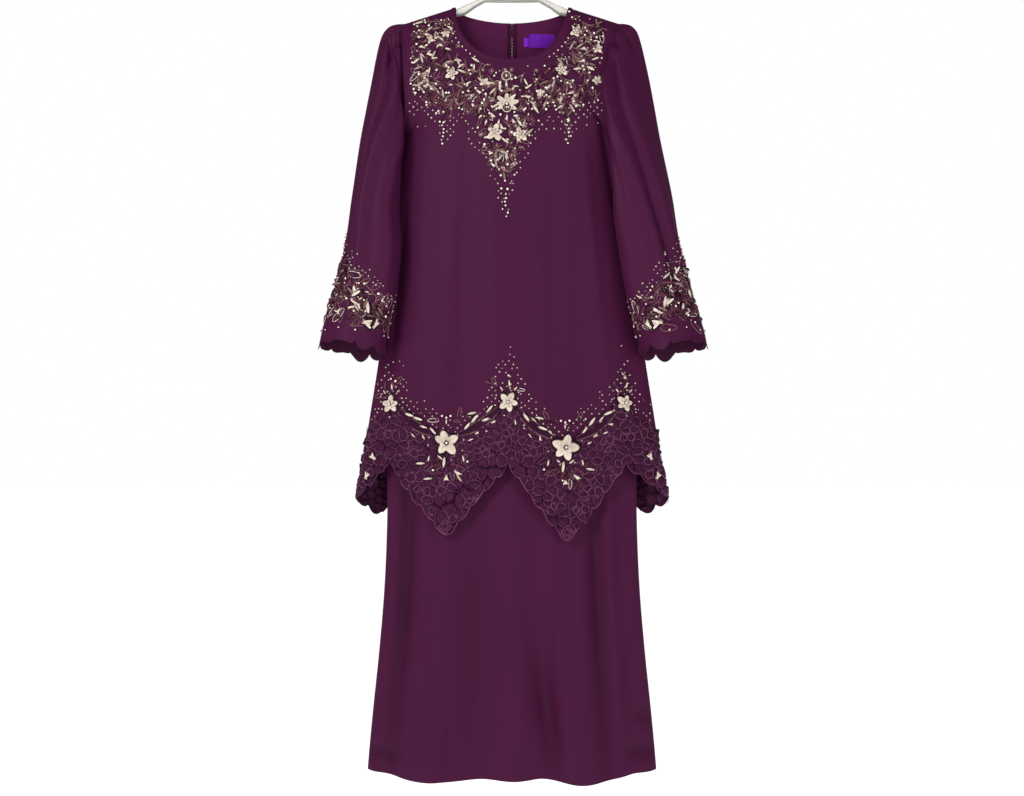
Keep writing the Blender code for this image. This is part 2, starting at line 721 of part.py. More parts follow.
def tube(name, points, radius, look):
    """A round wire through points."""
    curve = bpy.data.curves.new(name, "CURVE")
    curve.dimensions = "3D"
    spline = curve.splines.new("POLY")
    spline.points.add(len(points) - 1)
    for spot, point in zip(spline.points, points):
        spot.co = (*point, 1)
    curve.bevel_depth = radius
    curve.bevel_resolution = 2
    curve.use_fill_caps = True
    return add_object(name, curve, look)


HOOK_WIRE = 0.0019
HOOK_INSIDE = 0.0230


def make_hook(steel):
    """The hook: a straight stem, a turn to the side, and the arc over the rail."""
    radius = HOOK_INSIDE + HOOK_WIRE
    centre = -HOOK_INSIDE
    points = [(0, 0, -0.0787), (0, 0, -0.0680), (0.0012, 0, -0.0600), (0.0052, 0, -0.0520)]
    for degrees in range(-55, 206, 20):
        angle = math.radians(degrees)
        points.append((radius * math.cos(angle), 0, centre + radius * math.sin(angle)))
    tube("hanger_hook", points, HOOK_WIRE, steel)


RIBBON_WIDTH = 0.006
RIBBON_THICKNESS = 0.001
RIBBON_GAP = 0.0005


def make_ribbons(looks):
    """A flat ribbon over each arm, sewn inside the front and back of the waistband."""
    arm_middle = (NOTCH_FLOOR + NOTCH_BOTTOM) / 2
    clear = RIBBON_THICKNESS / 2 + RIBBON_GAP
    reach, rise = ARM_HALF_DEPTH + clear, NOTCH_FLOOR - arm_middle + clear
    band_y = WAIST_HALF[1] * math.sqrt(1 - (NOTCH_X / WAIST_HALF[0]) ** 2)
    waist_y = band_y - WAIST_CLOTH - RIBBON_THICKNESS / 2 - 2 * RIBBON_GAP
    over = [(reach * -math.cos(angle), arm_middle + rise * math.sin(angle))
            for angle in steps(0, math.pi, 8)]
    top, bottom = WAIST_BAND[0] + 0.001, WAIST_BAND[1] + 0.002
    path = [(-waist_y, bottom), (-waist_y, top), *over, (waist_y, top), (waist_y, bottom)]
    for side, word in ((-1, "left"), (1, "right")):
        ribbon(f"hanging_ribbon_{word}", side, path, looks["crepe"])


def ribbon(name, side, path, look):
    """A flat strip along a path in the YZ plane."""
    bm = bmesh.new()
    rings = []
    for i, (y, z) in enumerate(path):
        before, after = path[max(i - 1, 0)], path[min(i + 1, len(path) - 1)]
        along = Vector((0, after[0] - before[0], after[1] - before[1])).normalized()
        out = Vector((1, 0, 0)).cross(along)
        corners = ((-1, -1), (1, -1), (1, 1), (-1, 1))
        ring = []
        for across, lift in corners:
            x = side * NOTCH_X + across * RIBBON_WIDTH / 2
            ring.append(bm.verts.new(Vector((x, y, z)) + out * lift * RIBBON_THICKNESS / 2))
        rings.append(ring)
    for first, second in zip(rings, rings[1:]):
        for i in range(4):
            k = (i + 1) % 4
            bm.faces.new((first[i], first[k], second[k], second[i]))
    bm.faces.new(rings[0][::-1])
    bm.faces.new(rings[-1])
    return finish_mesh(name, bm, look)


# ---- the zip and the labels, on the back
def make_zip(looks):
    for side, word in ((-1, "left"), (1, "right")):

        def surface(turn, level):
            return tunic(BACK, turn, level)

        shares = [side * (ZIP_HALF_OPENING + ZIP_TAPE_WIDTH * part) / SHOULDER_HALF_WIDTH
                  for part in (0, 1)]
        top = level_of(NECK_DEPTH[BACK] + 0.001)
        grid = [[(turn_of(share), level) for share in sorted(shares)]
                for level in steps(top, level_of(ZIP_DEPTH), 14)]
        low = -CLOTH - TAPE_GAP
        wall(f"zip_tape_{word}", surface, grid, BACK, looks["zip"], outer=low, inner=low - TAPE_THICKNESS)


Label = namedtuple("Label", "name left right top bottom")
LABELS = [
    Label("neck_label", 0.0305, 0.0770, -0.1514, -0.1748),
    Label("size_tab", 0.0212, 0.0300, -0.1580, -0.1730),
]
LABEL_GAP = 0.0007


def make_labels(looks):
    def surface(turn, level):
        return tunic(BACK, turn, level)

    for row in LABELS:
        grid = [[place_on(BACK, x, height) for x in steps(row.left, row.right, 4)]
                for height in steps(row.top, row.bottom, 3)]
        low = -CLOTH - LABEL_GAP
        wall(row.name, surface, grid, BACK, looks["label"], outer=low, inner=low - TAPE_THICKNESS)


SLIDER_DROP = 0.040
SLIDER_SIZE = (0.0070, 0.0020, 0.0100)
BAIL_HALF_WIDTH = 0.0010
BAIL_HALF_LENGTH = 0.0029
BAIL_CROWN = 0.0021
BAIL_STRAP = 0.0008
PIVOT_LIFT = 0.0011
PULL_THICKNESS = 0.0010
PULL_FRAME = ((-0.0026, -0.0005), (-0.0026, 0.0070), (0.0026, 0.0070), (0.0026, -0.0005))
PULL_HOLE = ((-0.0016, 0.0005), (-0.0016, 0.0047), (0.0016, 0.0047), (0.0016, 0.0005))
PULL_TAIL = ((0.0020, 0.0110), (0.0024, 0.0180))
PULL_TIP = (0.0024, 0.0210, 0.0030)


def zip_frame():
    """The slider's place: its origin on the cloth, and its out and down directions."""
    level = level_of(SLIDER_DROP)
    origin = tunic(BACK, 0, level)
    origin.x = 0
    out = normal_at(lambda turn, down: tunic(BACK, turn, down), 0, level, BACK)
    out = Vector((0, out.y, out.z)).normalized()
    down = Vector((0, out.z, -out.y))
    return origin, out, down if down.z < 0 else -down


def make_slider(looks):
    """The slider: a flat block, and the bail that stands on it and holds the pull."""
    origin, out, down = zip_frame()
    across = Vector((1, 0, 0))
    width, thick, length = SLIDER_SIZE
    face = SEAM_GAP + thick
    half, foot = width / 2, BAIL_HALF_LENGTH - BAIL_STRAP
    bm = bmesh.new()

    def corner(a, b, c):
        return bm.verts.new(origin + across * a + down * b + out * c)

    # The bail's feet stand in the block's face, so that face is cut into strips.
    marks = [-length / 2, -BAIL_HALF_LENGTH, -foot, foot, BAIL_HALF_LENGTH, length / 2]
    wide = [-half, -BAIL_HALF_WIDTH, BAIL_HALF_WIDTH, half]
    top = [[corner(a, b, face) for b in marks] for a in wide]
    for i in range(3):
        for j in range(5):
            if i == 1 and j in (1, 3):
                continue
            bm.faces.new((top[i][j], top[i + 1][j], top[i + 1][j + 1], top[i][j + 1]))
    low = [[corner(a, b, SEAM_GAP) for b in (-length / 2, length / 2)] for a in (-half, half)]
    bm.faces.new((low[0][0], low[0][1], low[1][1], low[1][0]))
    bm.faces.new([low[0][0], *top[0], low[0][1]])
    bm.faces.new([low[1][0], *top[3], low[1][1]])
    bm.faces.new([low[0][0], *[column[0] for column in top], low[1][0]])
    bm.faces.new([low[0][1], *[column[-1] for column in top], low[1][1]])
    sides = (-BAIL_HALF_WIDTH, BAIL_HALF_WIDTH)
    inside = [[corner(a, b, face + BAIL_CROWN) for b in (-foot, foot)] for a in sides]
    outside = [[corner(a, b, face + BAIL_CROWN + BAIL_STRAP)
                for b in (-BAIL_HALF_LENGTH, BAIL_HALF_LENGTH)] for a in sides]
    for i in (0, 1):
        feet = top[1 + i]
        bm.faces.new((feet[1], feet[2], inside[i][0], outside[i][0]))
        bm.faces.new((inside[i][0], inside[i][1], outside[i][1], outside[i][0]))
        bm.faces.new((feet[3], feet[4], outside[i][1], inside[i][1]))
    for j, inner, outer in ((0, 2, 1), (1, 3, 4)):
        bm.faces.new((top[1][inner], top[2][inner], inside[1][j], inside[0][j]))
        bm.faces.new((top[1][outer], top[2][outer], outside[1][j], outside[0][j]))
    bm.faces.new((inside[0][0], inside[1][0], inside[1][1], inside[0][1]))
    bm.faces.new((outside[0][0], outside[1][0], outside[1][1], outside[0][1]))
    finish_mesh("zip_slider", bm, looks["steel"], math.radians(35))
    make_pull(origin + out * (face + PIVOT_LIFT), across, down, out, looks["steel"])


def make_pull(pivot, across, down, out, steel):
    """The pull tab: a frame round the bail, and a tapering tail with a round end."""
    bm = bmesh.new()
    half_tip, tip_start, tip_length = PULL_TIP
    tip = [(half_tip * math.cos(angle), tip_start + tip_length * math.sin(angle))
           for angle in steps(0, math.pi, 4)]
    left = [(-a, b) for a, b in reversed(PULL_TAIL)]
    layers = []
    for lift in (-PULL_THICKNESS / 2, PULL_THICKNESS / 2):
        frame, hole, tail = (
            [bm.verts.new(pivot + across * a + down * b + out * lift) for a, b in loop]
            for loop in (PULL_FRAME, PULL_HOLE, (*PULL_TAIL, *tip, *left))
        )
        for i in range(4):
            k = (i + 1) % 4
            bm.faces.new((frame[i], frame[k], hole[k], hole[i]))
        bm.faces.new([frame[2], *tail, frame[1]])
        layers.append((frame, hole, [frame[2], *tail, frame[1]]))
    (low_frame, low_hole, low_rim), (high_frame, high_hole, high_rim) = layers
    for i in range(4):
        k = (i + 1) % 4
        bm.faces.new((low_hole[i], low_hole[k], high_hole[k], high_hole[i]))
        if i != 1:
            bm.faces.new((low_frame[i], low_frame[k], high_frame[k], high_frame[i]))
    for i in range(len(low_rim) - 1):
        bm.faces.new((low_rim[i], low_rim[i + 1], high_rim[i + 1], high_rim[i]))
    finish_mesh("zip_pull", bm, steel, math.radians(35))


# ---- applied flowers and swags
Flower = namedtuple("Flower", "x height radius petals")
YOKE_FLOWERS = [
    Flower(-0.009, -0.288, 0.0195, 7),
    Flower(-0.030, -0.339, 0.0155, 5),
    Flower(0.014, -0.343, 0.0150, 5),
    Flower(-0.106, -0.234, 0.0125, 5),
    Flower(0.087, -0.228, 0.0125, 5),
]
HEM_FLOWERS = {
    FRONT: [
        Flower(-0.214, -0.817, 0.0160, 5),
        Flower(-0.1155, -0.885, 0.0245, 6),
        Flower(-0.006, -0.813, 0.0175, 5),
        Flower(0.093, -0.893, 0.0235, 6),
        Flower(0.198, -0.815, 0.0160, 5),
    ],
    BACK: [
        Flower(-0.155, -0.818, 0.0165, 5),
        Flower(-0.080, -0.889, 0.0240, 6),
        Flower(0.000, -0.813, 0.0175, 5),
        Flower(0.080, -0.889, 0.0240, 6),
        Flower(0.155, -0.818, 0.0165, 5),
    ],
}
FLOWER_THICKNESS = 0.0018
# A cuff flower's middle, in rings, and its reach in turn and in rings.
CUFF_FLOWER_RING = 11.35
CUFF_FLOWER_TURN = 0.36
CUFF_FLOWER_RISE = 0.48


def place_on(panel, x, height):
    """(turn, level) of the point on a panel with this x and height."""
    share = x / SHOULDER_HALF_WIDTH
    for _ in range(12):
        drop = shoulder_height(share) - height
        share = clamp(x / half_width(panel, share, drop), -1, 1)
    return turn_of(share), level_at(share, height)


def flower(name, surface, places, outward, petals, gap, look):
    """A flower of rounded petals with a raised rim. places(angle, reach) is on the surface."""
    points_per_petal = 3
    count = petals * points_per_petal
    bm = bmesh.new()

    def ring(reach, lift):
        made = []
        for i in range(count):
            angle = 2 * math.pi * i / count
            lobe = 0.74 + 0.26 * abs(math.sin(petals * angle / 2)) ** 0.7
            across, down = places(angle, reach * lobe)
            normal = normal_at(surface, across, down, outward)
            made.append(bm.verts.new(surface(across, down) + normal * lift))
        return made

    base = ring(1.0, gap)
    rim = ring(1.0, gap + FLOWER_THICKNESS)
    cup = ring(0.45, gap + FLOWER_THICKNESS * 0.7)
    across, down = places(0, 0)
    middle = surface(across, down)
    normal = normal_at(surface, across, down, outward)
    under = bm.verts.new(middle + normal * gap)
    heart = bm.verts.new(middle + normal * (gap + FLOWER_THICKNESS * 1.6))
    for i in range(count):
        k = (i + 1) % count
        bm.faces.new((base[i], base[k], under))
        bm.faces.new((base[i], base[k], rim[k], rim[i]))
        bm.faces.new((rim[i], rim[k], cup[k], cup[i]))
        bm.faces.new((cup[i], cup[k], heart))
    return finish_mesh(name, bm, look)


def panel_flower(name, panel, row, gap, look):
    def surface(turn, level):
        return tunic(panel, turn, level)

    def places(angle, reach):
        x = row.x + row.radius * reach * math.sin(angle)
        return place_on(panel, x, row.height + row.radius * reach * math.cos(angle))

    return flower(name, surface, places, panel, row.petals, gap, look)


SWAG_WIDTH = 0.0073
SWAG_EDGE = 0.0012
SWAG_MIDDLE = 0.0026
SWAG_SAG = 0.006
SWAG_GAP = 0.0008
# How much of the way between two flowers their petals take up.
UPPER_FLOWER_PART = 0.26
LOWER_FLOWER_PART = 0.30


def swag(name, panel, first, second, look):
    """A satin cord that follows the lace's seam from one flower to the next."""

    def surface(turn, level):
        return tunic(panel, turn, level)

    falling = first.height > second.height
    start = UPPER_FLOWER_PART if falling else LOWER_FLOWER_PART
    end = 1 - (LOWER_FLOWER_PART if falling else UPPER_FLOWER_PART)
    lifts = (SWAG_EDGE, SWAG_MIDDLE, SWAG_EDGE)
    grid = []
    for across in (0.5, 0, -0.5):
        row = []
        for part in steps(start, end, 5):
            x = first.x + (second.x - first.x) * part
            sag = SWAG_SAG * math.sin(math.pi * (part - start) / (end - start))
            height = first.height + (second.height - first.height) * part - sag
            row.append(place_on(panel, x, height + across * SWAG_WIDTH))
        grid.append(row)
    return wall(name, surface, grid, panel, look,
                outer=lambda i: SWAG_GAP + lifts[i], inner=SWAG_GAP)


def make_applique(looks):
    cream = looks["applique"]
    for number, row in enumerate(YOKE_FLOWERS, 1):
        panel_flower(f"yoke_flower_{number}", FRONT, row, YOKE_FLOWER_GAP, cream)
    for panel, word in ((FRONT, "front"), (BACK, "back")):
        for number, row in enumerate(HEM_FLOWERS[panel], 1):
            panel_flower(f"hem_flower_{word}_{number}", panel, row, HEM_FLOWER_GAP, cream)
        pairs = zip(HEM_FLOWERS[panel], HEM_FLOWERS[panel][1:])
        for number, (first, second) in enumerate(pairs, 1):
            swag(f"swag_{word}_{number}", panel, first, second, looks["cord"])
    for side, word in ((-1, "left"), (1, "right")):
        for face, middle in (("front", math.pi / 2), ("back", 3 * math.pi / 2)):

            def surface(angle, ring, side=side):
                return sleeve(side, angle, ring)

            def places(angle, reach, middle=middle):
                return (middle + CUFF_FLOWER_TURN * reach * math.sin(angle),
                        CUFF_FLOWER_RING - CUFF_FLOWER_RISE * reach * math.cos(angle))

            name = f"cuff_flower_{word}_{face}"
            flower(name, surface, places, side, 5, CUFF_FLOWER_GAP, cream)


def main():
    for obj in list(bpy.data.objects):
        bpy.data.objects.remove(obj)
    looks = make_materials()
    make_hanger(looks)
    make_ribbons(looks)
    make_tunic(looks)
    make_sleeves(looks)
    make_skirt(looks)
    make_zip(looks)
    make_labels(looks)
    make_slider(looks)
    make_applique(looks)


main()
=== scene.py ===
"""Baju kurung on its hanger: a plum crepe tunic, embroidered and edged with corded lace, over a long skirt.

Metres, +Z up, with the front facing -Y. The origin is the top of the inside of the hook.
Each operator makes a group of pieces over the solids that they stand for.
"""

import math
from collections import namedtuple
from functools import partial

import bmesh
import bpy
import numpy as np
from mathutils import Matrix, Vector


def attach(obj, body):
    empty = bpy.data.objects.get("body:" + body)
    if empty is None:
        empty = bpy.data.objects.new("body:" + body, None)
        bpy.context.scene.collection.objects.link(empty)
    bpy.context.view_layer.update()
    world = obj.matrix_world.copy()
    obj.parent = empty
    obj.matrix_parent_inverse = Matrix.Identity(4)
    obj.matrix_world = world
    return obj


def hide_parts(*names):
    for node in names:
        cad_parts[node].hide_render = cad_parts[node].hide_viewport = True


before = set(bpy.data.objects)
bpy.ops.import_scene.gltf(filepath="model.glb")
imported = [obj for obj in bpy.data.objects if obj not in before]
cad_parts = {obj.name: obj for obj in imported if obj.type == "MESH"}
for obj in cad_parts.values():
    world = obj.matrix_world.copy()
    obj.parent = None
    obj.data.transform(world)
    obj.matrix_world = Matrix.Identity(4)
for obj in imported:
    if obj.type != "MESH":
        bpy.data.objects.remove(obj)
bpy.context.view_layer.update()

bl_info = {
    "name": "Baju Kurung",
    "version": (1, 0, 0),
    "blender": (4, 5, 0),
    "location": "3D View > Sidebar > Baju Kurung",
    "description": "Makes an embroidered tunic and skirt on a hanger",
    "category": "Add Mesh",
}

BODY = "garment"
FRONT, BACK = -1, 1
SIDES = ((-1, "left"), (1, "right"))


def rows(kind, *table):
    return [kind(*row) for row in table]


# ---- the cut: the same driving sizes as the solids
SHOULDER_TOP = -0.110
SHOULDER_FALL = 0.0285
SHOULDER_HALF_WIDTH = 0.190
SHOULDER_ROUNDING = 0.30
NECK_HALF_WIDTH = 0.1008
NECK_DEPTH = {FRONT: 0.0977, BACK: 0.0242}
NECK_POWER = {FRONT: 2.2, BACK: 1.8}
NECK_END_SLOPE = 12
ARMHOLE_DEPTH = 0.1915
ARMHOLE_FULL_DROP = 0.10
ARMHOLE_GAP = 0.0003
HALF_GAP = 0.00015
# A section of the tunic: pinch pulls its sides in, towards a lens shape.
Girth = namedtuple("Girth", "at half_width half_depth pinch")
TUNIC = rows(
    Girth, (0, 0.19, 0.052, 0), (0.172, 0.1945, 0.056, 0.1), (0.314, 0.2087, 0.058, 0.35),
    (0.47, 0.2235, 0.06, 0.35), (0.59, 0.2364, 0.062, 0.35), (0.706, 0.2544, 0.065, 0.35),
    (0.778, 0.2658, 0.067, 0.33), (0.84, 0.278, 0.07, 0.3), (0.95, 0.292, 0.074, 0.3),
)
# The skirt's sections are placed by depth below the hook.
SKIRT = rows(
    Girth, (0.515, 0.175, 0.034, 0.2), (0.6, 0.195, 0.038, 0.3), (0.7, 0.212, 0.041, 0.35),
    (0.92, 0.223, 0.045, 0.35), (1.01, 0.2225, 0.048, 0.35), (1.137, 0.2273, 0.052, 0.33),
    (1.25, 0.2364, 0.056, 0.3), (1.362, 0.248, 0.06, 0.28), (1.437, 0.2551, 0.063, 0.25),
    (1.5, 0.26, 0.065, 0.25),
)
# The armhole edge's share of the half width. The right of the front is seen turned in.
Armhole = namedtuple("Armhole", "at front_left front_right back")
ARMHOLE = rows(
    Armhole, (0, 1, 1, 1), (0.03, 0.988, 0.915, 0.97), (0.065, 0.975, 0.875, 0.955),
    (0.11, 0.97, 0.855, 0.95), (0.15, 0.978, 0.875, 0.96), (0.178, 0.99, 0.935, 0.985),
    (ARMHOLE_DEPTH, 1, 1, 1),
)
# The hem lace: share of the half width, its seam, its edge, and the scallops to the next row.
Hem = namedtuple("Hem", "share seam edge scallops")
HEM = {
    FRONT: rows(
        Hem, (-1, -0.866, -0.982, 3), (-0.8, -0.818, -0.916, 5), (-0.404, -0.885, -1.046, 5),
        (-0.026, -0.815, -0.918, 5), (0.33, -0.892, -1.056, 5), (0.741, -0.815, -0.918, 3),
        (1, -0.866, -0.982, 0),
    ),
    BACK: rows(
        Hem, (-1, -0.866, -0.984, 2), (-0.83, -0.888, -1.011, 4), (-0.58, -0.818, -0.92, 5),
        (-0.29, -0.888, -1.05, 5), (0, -0.815, -0.918, 5), (0.29, -0.888, -1.05, 5),
        (0.58, -0.818, -0.92, 4), (0.83, -0.888, -1.011, 2), (1, -0.866, -0.984, 0),
    ),
}
SCALLOP_DEPTH = 0.0085

# A soft fold: where it lies across and down, and how far it stands out.
Fold = namedtuple("Fold", "share top bottom half_width depth")
TUNIC_FOLDS = {
    FRONT: rows(
        Fold, (-0.6, -0.45, -0.95, 0.13, 0.007), (-0.3, -0.4, -0.95, 0.12, -0.006),
        (0.12, -0.45, -0.95, 0.14, 0.005), (0.52, -0.4, -0.95, 0.13, -0.006),
        (0.76, -0.45, -0.95, 0.1, 0.006),
    ),
    BACK: rows(
        Fold, (-0.52, -0.4, -0.95, 0.13, 0.007), (-0.2, -0.45, -0.95, 0.12, -0.005),
        (0.26, -0.45, -0.95, 0.13, 0.006), (0.6, -0.4, -0.95, 0.13, -0.006),
    ),
}
SKIRT_FOLDS = {
    FRONT: rows(
        Fold, (-0.86, -0.9, -1.45, 0.09, -0.006), (-0.58, -0.85, -1.45, 0.16, 0.009),
        (-0.2, -0.9, -1.45, 0.13, -0.007), (0.2, -1.05, -1.45, 0.1, -0.008),
        (0.5, -0.85, -1.45, 0.15, 0.014), (0.84, -0.9, -1.45, 0.09, -0.007),
    ),
    BACK: rows(
        Fold, (-0.62, -0.85, -1.45, 0.14, 0.01), (-0.28, -0.9, -1.45, 0.12, -0.008),
        (0.06, -0.85, -1.45, 0.14, 0.009), (0.46, -0.9, -1.45, 0.13, -0.008),
        (0.78, -0.9, -1.45, 0.09, 0.006),
    ),
}
SKIRT_TOP = -0.5453
SKIRT_HEM = -1.4790
SKIRT_SIDE_RISE = 0.012
SKIRT_FOLD_DROP = 0.5

# A sleeve's rings below the armhole: outermost and innermost point, half depth, how
# far the front is skewed inwards and stands higher, and how deep the gathers are.
Ring = namedtuple("Ring", "outer_x outer_y outer_z inner_x inner_y inner_z half_depth skew rise gather")
SLEEVES = {
    -1: rows(
        Ring, (0.203, 0, -0.139, 0.199, 0, -0.3335, 0.041, 0.1, 0, 0.0058),
        (0.2165, 0, -0.1425, 0.2, 0, -0.337, 0.044, 0.12, 0, 0.0072),
        (0.228, 0, -0.153, 0.2, -0.003, -0.341, 0.046, 0.3, 0, 0.0064),
        (0.2355, -0.002, -0.171, 0.2, -0.008, -0.348, 0.047, 0.42, 0, 0.005),
        (0.2415, -0.006, -0.198, 0.199, -0.016, -0.359, 0.047, 0.48, 0, 0.0034),
        (0.2498, -0.011, -0.244, 0.1975, -0.026, -0.374, 0.046, 0.46, 0, 0.0016),
        (0.2587, -0.017, -0.292, 0.197, -0.036, -0.392, 0.045, 0.3, 0, 0),
        (0.2694, -0.023, -0.354, 0.1975, -0.045, -0.418, 0.044, 0.16, 0, 0),
        (0.281, -0.03, -0.452, 0.1998, -0.054, -0.478, 0.042, 0, 0, 0),
        (0.2929, -0.034, -0.533, 0.196, -0.058, -0.543, 0.042, 0, 0.001, 0),
        (0.3099, -0.036, -0.608, 0.2034, -0.06, -0.614, 0.044, 0, 0.003, 0),
        (0.3222, -0.037, -0.649, 0.2123, -0.06, -0.653, 0.046, 0, 0.006, 0),
        (0.3325, -0.038, -0.685, 0.2194, -0.06, -0.69, 0.049, 0, 0.009, 0),
        (0.34, -0.038, -0.725, 0.226, -0.06, -0.737, 0.053, 0, 0.012, 0),
    ),
    1: rows(
        Ring, (0.2, 0, -0.1385, 0.199, 0, -0.3335, 0.05, 0.67, 0, 0.0058),
        (0.2125, 0, -0.142, 0.2, -0.001, -0.337, 0.052, 0.85, 0, 0.0072),
        (0.223, 0, -0.153, 0.2005, -0.004, -0.341, 0.054, 0.96, 0, 0.0064),
        (0.2301, -0.002, -0.174, 0.2, -0.01, -0.348, 0.055, 0.98, 0, 0.005),
        (0.2373, -0.006, -0.206, 0.1985, -0.02, -0.359, 0.055, 1, 0, 0.0034),
        (0.2455, -0.012, -0.247, 0.1955, -0.033, -0.374, 0.054, 0.98, 0, 0.0016),
        (0.2533, -0.018, -0.292, 0.19, -0.046, -0.392, 0.051, 0.96, 0, 0),
        (0.264, -0.025, -0.354, 0.182, -0.058, -0.418, 0.047, 0.78, 0, 0),
        (0.2837, -0.033, -0.452, 0.179, -0.064, -0.478, 0.043, 0.42, 0, 0),
        (0.2953, -0.037, -0.533, 0.1873, -0.065, -0.543, 0.042, 0.1, 0.001, 0),
        (0.3122, -0.039, -0.608, 0.1989, -0.064, -0.614, 0.044, 0, 0.003, 0),
        (0.324, -0.04, -0.649, 0.2096, -0.062, -0.653, 0.046, 0, 0.006, 0),
        (0.3361, -0.04, -0.685, 0.2194, -0.061, -0.69, 0.049, 0, 0.009, 0),
        (0.344, -0.04, -0.725, 0.2265, -0.061, -0.737, 0.053, 0, 0.012, 0),
    ),
}
# Where the cloth beside the armhole is drawn in: its ring, how far it reaches, how deep.
PINCH = {-1: (0.72, 0.20, 0.0085), 1: (0.10, 0.16, 0.0050)}
# The short folds that hang from a sleeve's head: ring, half width and depth of each.
HEAD_FOLDS = ((1.35, 0.28, 0.0034), (2.20, 0.30, 0.0032), (3.10, 0.34, 0.0020))
GATHER_STEP = 0.2
GATHER_SPREAD = 0.5
CUFF_SEAM = 13.0
CUFF_END = 13.58
CUFF_SCALLOPS = 10
CUFF_SCALLOP_DEPTH = 0.0115
CUFF_RADIUS = 0.055
RING_LENGTH_AT_CUFF = 0.043
RING_SPACING = 0.036
# Crease depth at which the painted crease shade is full.
CREASE_FOR_FULL_SHADE = 0.020

# The small creases of the cloth, over the folds that the solids share.
Crease = namedtuple("Crease", "share height length width depth lean")
TUNIC_CREASES = {
    FRONT: rows(
        Crease, (-0.74, -0.56, 0.26, 0.07, 0.004, 0.05), (-0.4, -0.6, 0.26, 0.06, -0.0036, 0.04),
        (-0.13, -0.66, 0.2, 0.05, 0.0026, -0.04), (0.3, -0.56, 0.26, 0.05, -0.0034, 0.05),
        (0.66, -0.62, 0.28, 0.06, 0.004, -0.05), (-0.72, -0.42, 0.14, 0.05, -0.0016, 0.1),
        (0.7, -0.44, 0.13, 0.05, -0.0018, -0.12), (-0.86, -0.56, 0.18, 0.04, -0.0018, 0),
        (0.88, -0.6, 0.16, 0.04, -0.0018, 0), (-0.965, -0.38, 0.1, 0.03, -0.013, -0.2),
        (-0.9, -0.6, 0.13, 0.03, -0.015, 0), (0.89, -0.52, 0.24, 0.03, -0.012, -0.386),
    ),
    BACK: rows(
        Crease, (-0.45, -0.56, 0.24, 0.055, 0.0022, 0.05), (-0.16, -0.7, 0.16, 0.045, -0.0016, -0.05),
        (0.2, -0.64, 0.2, 0.05, 0.002, 0.05), (0.5, -0.52, 0.22, 0.055, -0.0022, -0.04),
        (-0.8, -0.38, 0.12, 0.05, -0.0016, 0.1), (0.8, -0.4, 0.12, 0.05, -0.0016, -0.1),
    ),
}
SKIRT_CREASES = {
    FRONT: rows(
        Crease, (-0.925, -1.437, 0.014, 0.1, -0.017, 0), (-0.88, -1.46, 0.016, 0.09, 0.0035, 0),
        (-0.83, -1.13, 0.3, 0.072, -0.021, 0.02), (-0.7, -1.18, 0.28, 0.07, 0.0105, 0.04),
        (-0.3, -1.18, 0.26, 0.12, -0.009, 0.03), (0.02, -1.25, 0.28, 0.1, 0.009, -0.04),
        (0.26, -1.37, 0.11, 0.07, -0.015, -0.42), (0.36, -1.25, 0.22, 0.06, 0.009, -0.2),
        (0.66, -1.16, 0.3, 0.06, -0.015, 0), (0.78, -1.2, 0.3, 0.05, 0.012, 0),
        (0.915, -1.43, 0.014, 0.1, -0.017, 0), (0.1, -1.435, 0.05, 0.05, -0.005, 0.6),
        (-0.46, -1.42, 0.07, 0.04, -0.006, 0.3), (0.94, -1.369, 0.013, 0.06, -0.012, 0),
    ),
    BACK: rows(
        Crease, (-0.84, -1.41, 0.08, 0.05, -0.004, 0.3), (-0.62, -1.18, 0.3, 0.06, -0.008, 0),
        (-0.44, -1.2, 0.26, 0.08, 0.006, 0.04), (-0.08, -1.3, 0.22, 0.07, -0.005, -0.05),
        (0.25, -1.15, 0.28, 0.08, 0.006, 0.03), (0.62, -1.22, 0.28, 0.06, -0.008, 0.06),
        (0.88, -1.42, 0.07, 0.05, 0.004, -0.3),
    ),
}
# A long fold down a sleeve: its angle, the rings that it runs between, and how it leans.
SleeveFold = namedtuple("SleeveFold", "angle top bottom half_width depth lean")
SLEEVE_FOLDS = {
    -1: rows(
        SleeveFold, (0.8, 1.5, 12, 0.2, -0.009, 0.012), (1.32, 1.5, 12.5, 0.22, 0.006, -0.01),
        (1.85, 4, 12.5, 0.22, -0.0036, -0.01), (2.45, 5, 12, 0.2, 0.003, 0),
        (4.3, 3.5, 12, 0.24, -0.0048, 0.012), (5.2, 4, 12.5, 0.24, 0.004, -0.015),
    ),
    1: rows(
        SleeveFold, (0.72, 2, 12, 0.16, 0.005, 0.004), (1.12, 1.5, 12.5, 0.17, -0.0115, 0.006),
        (1.5, 2, 12, 0.2, 0.005, -0.01), (2.2, 3.5, 12.5, 0.24, -0.0034, 0.01),
        (4.45, 3, 12, 0.24, -0.0048, -0.01), (5.3, 4, 12.5, 0.22, 0.004, 0.012),
    ),
}


# ---- curves, on arrays of places
def ease(value, low, high):
    """0 at low, 1 at high, and smooth between them."""
    share = np.clip((value - low) / (high - low), 0, 1)
    return share * share * (3 - 2 * share)


def column_of(table, column):
    return np.array([getattr(row, column) for row in table], float)


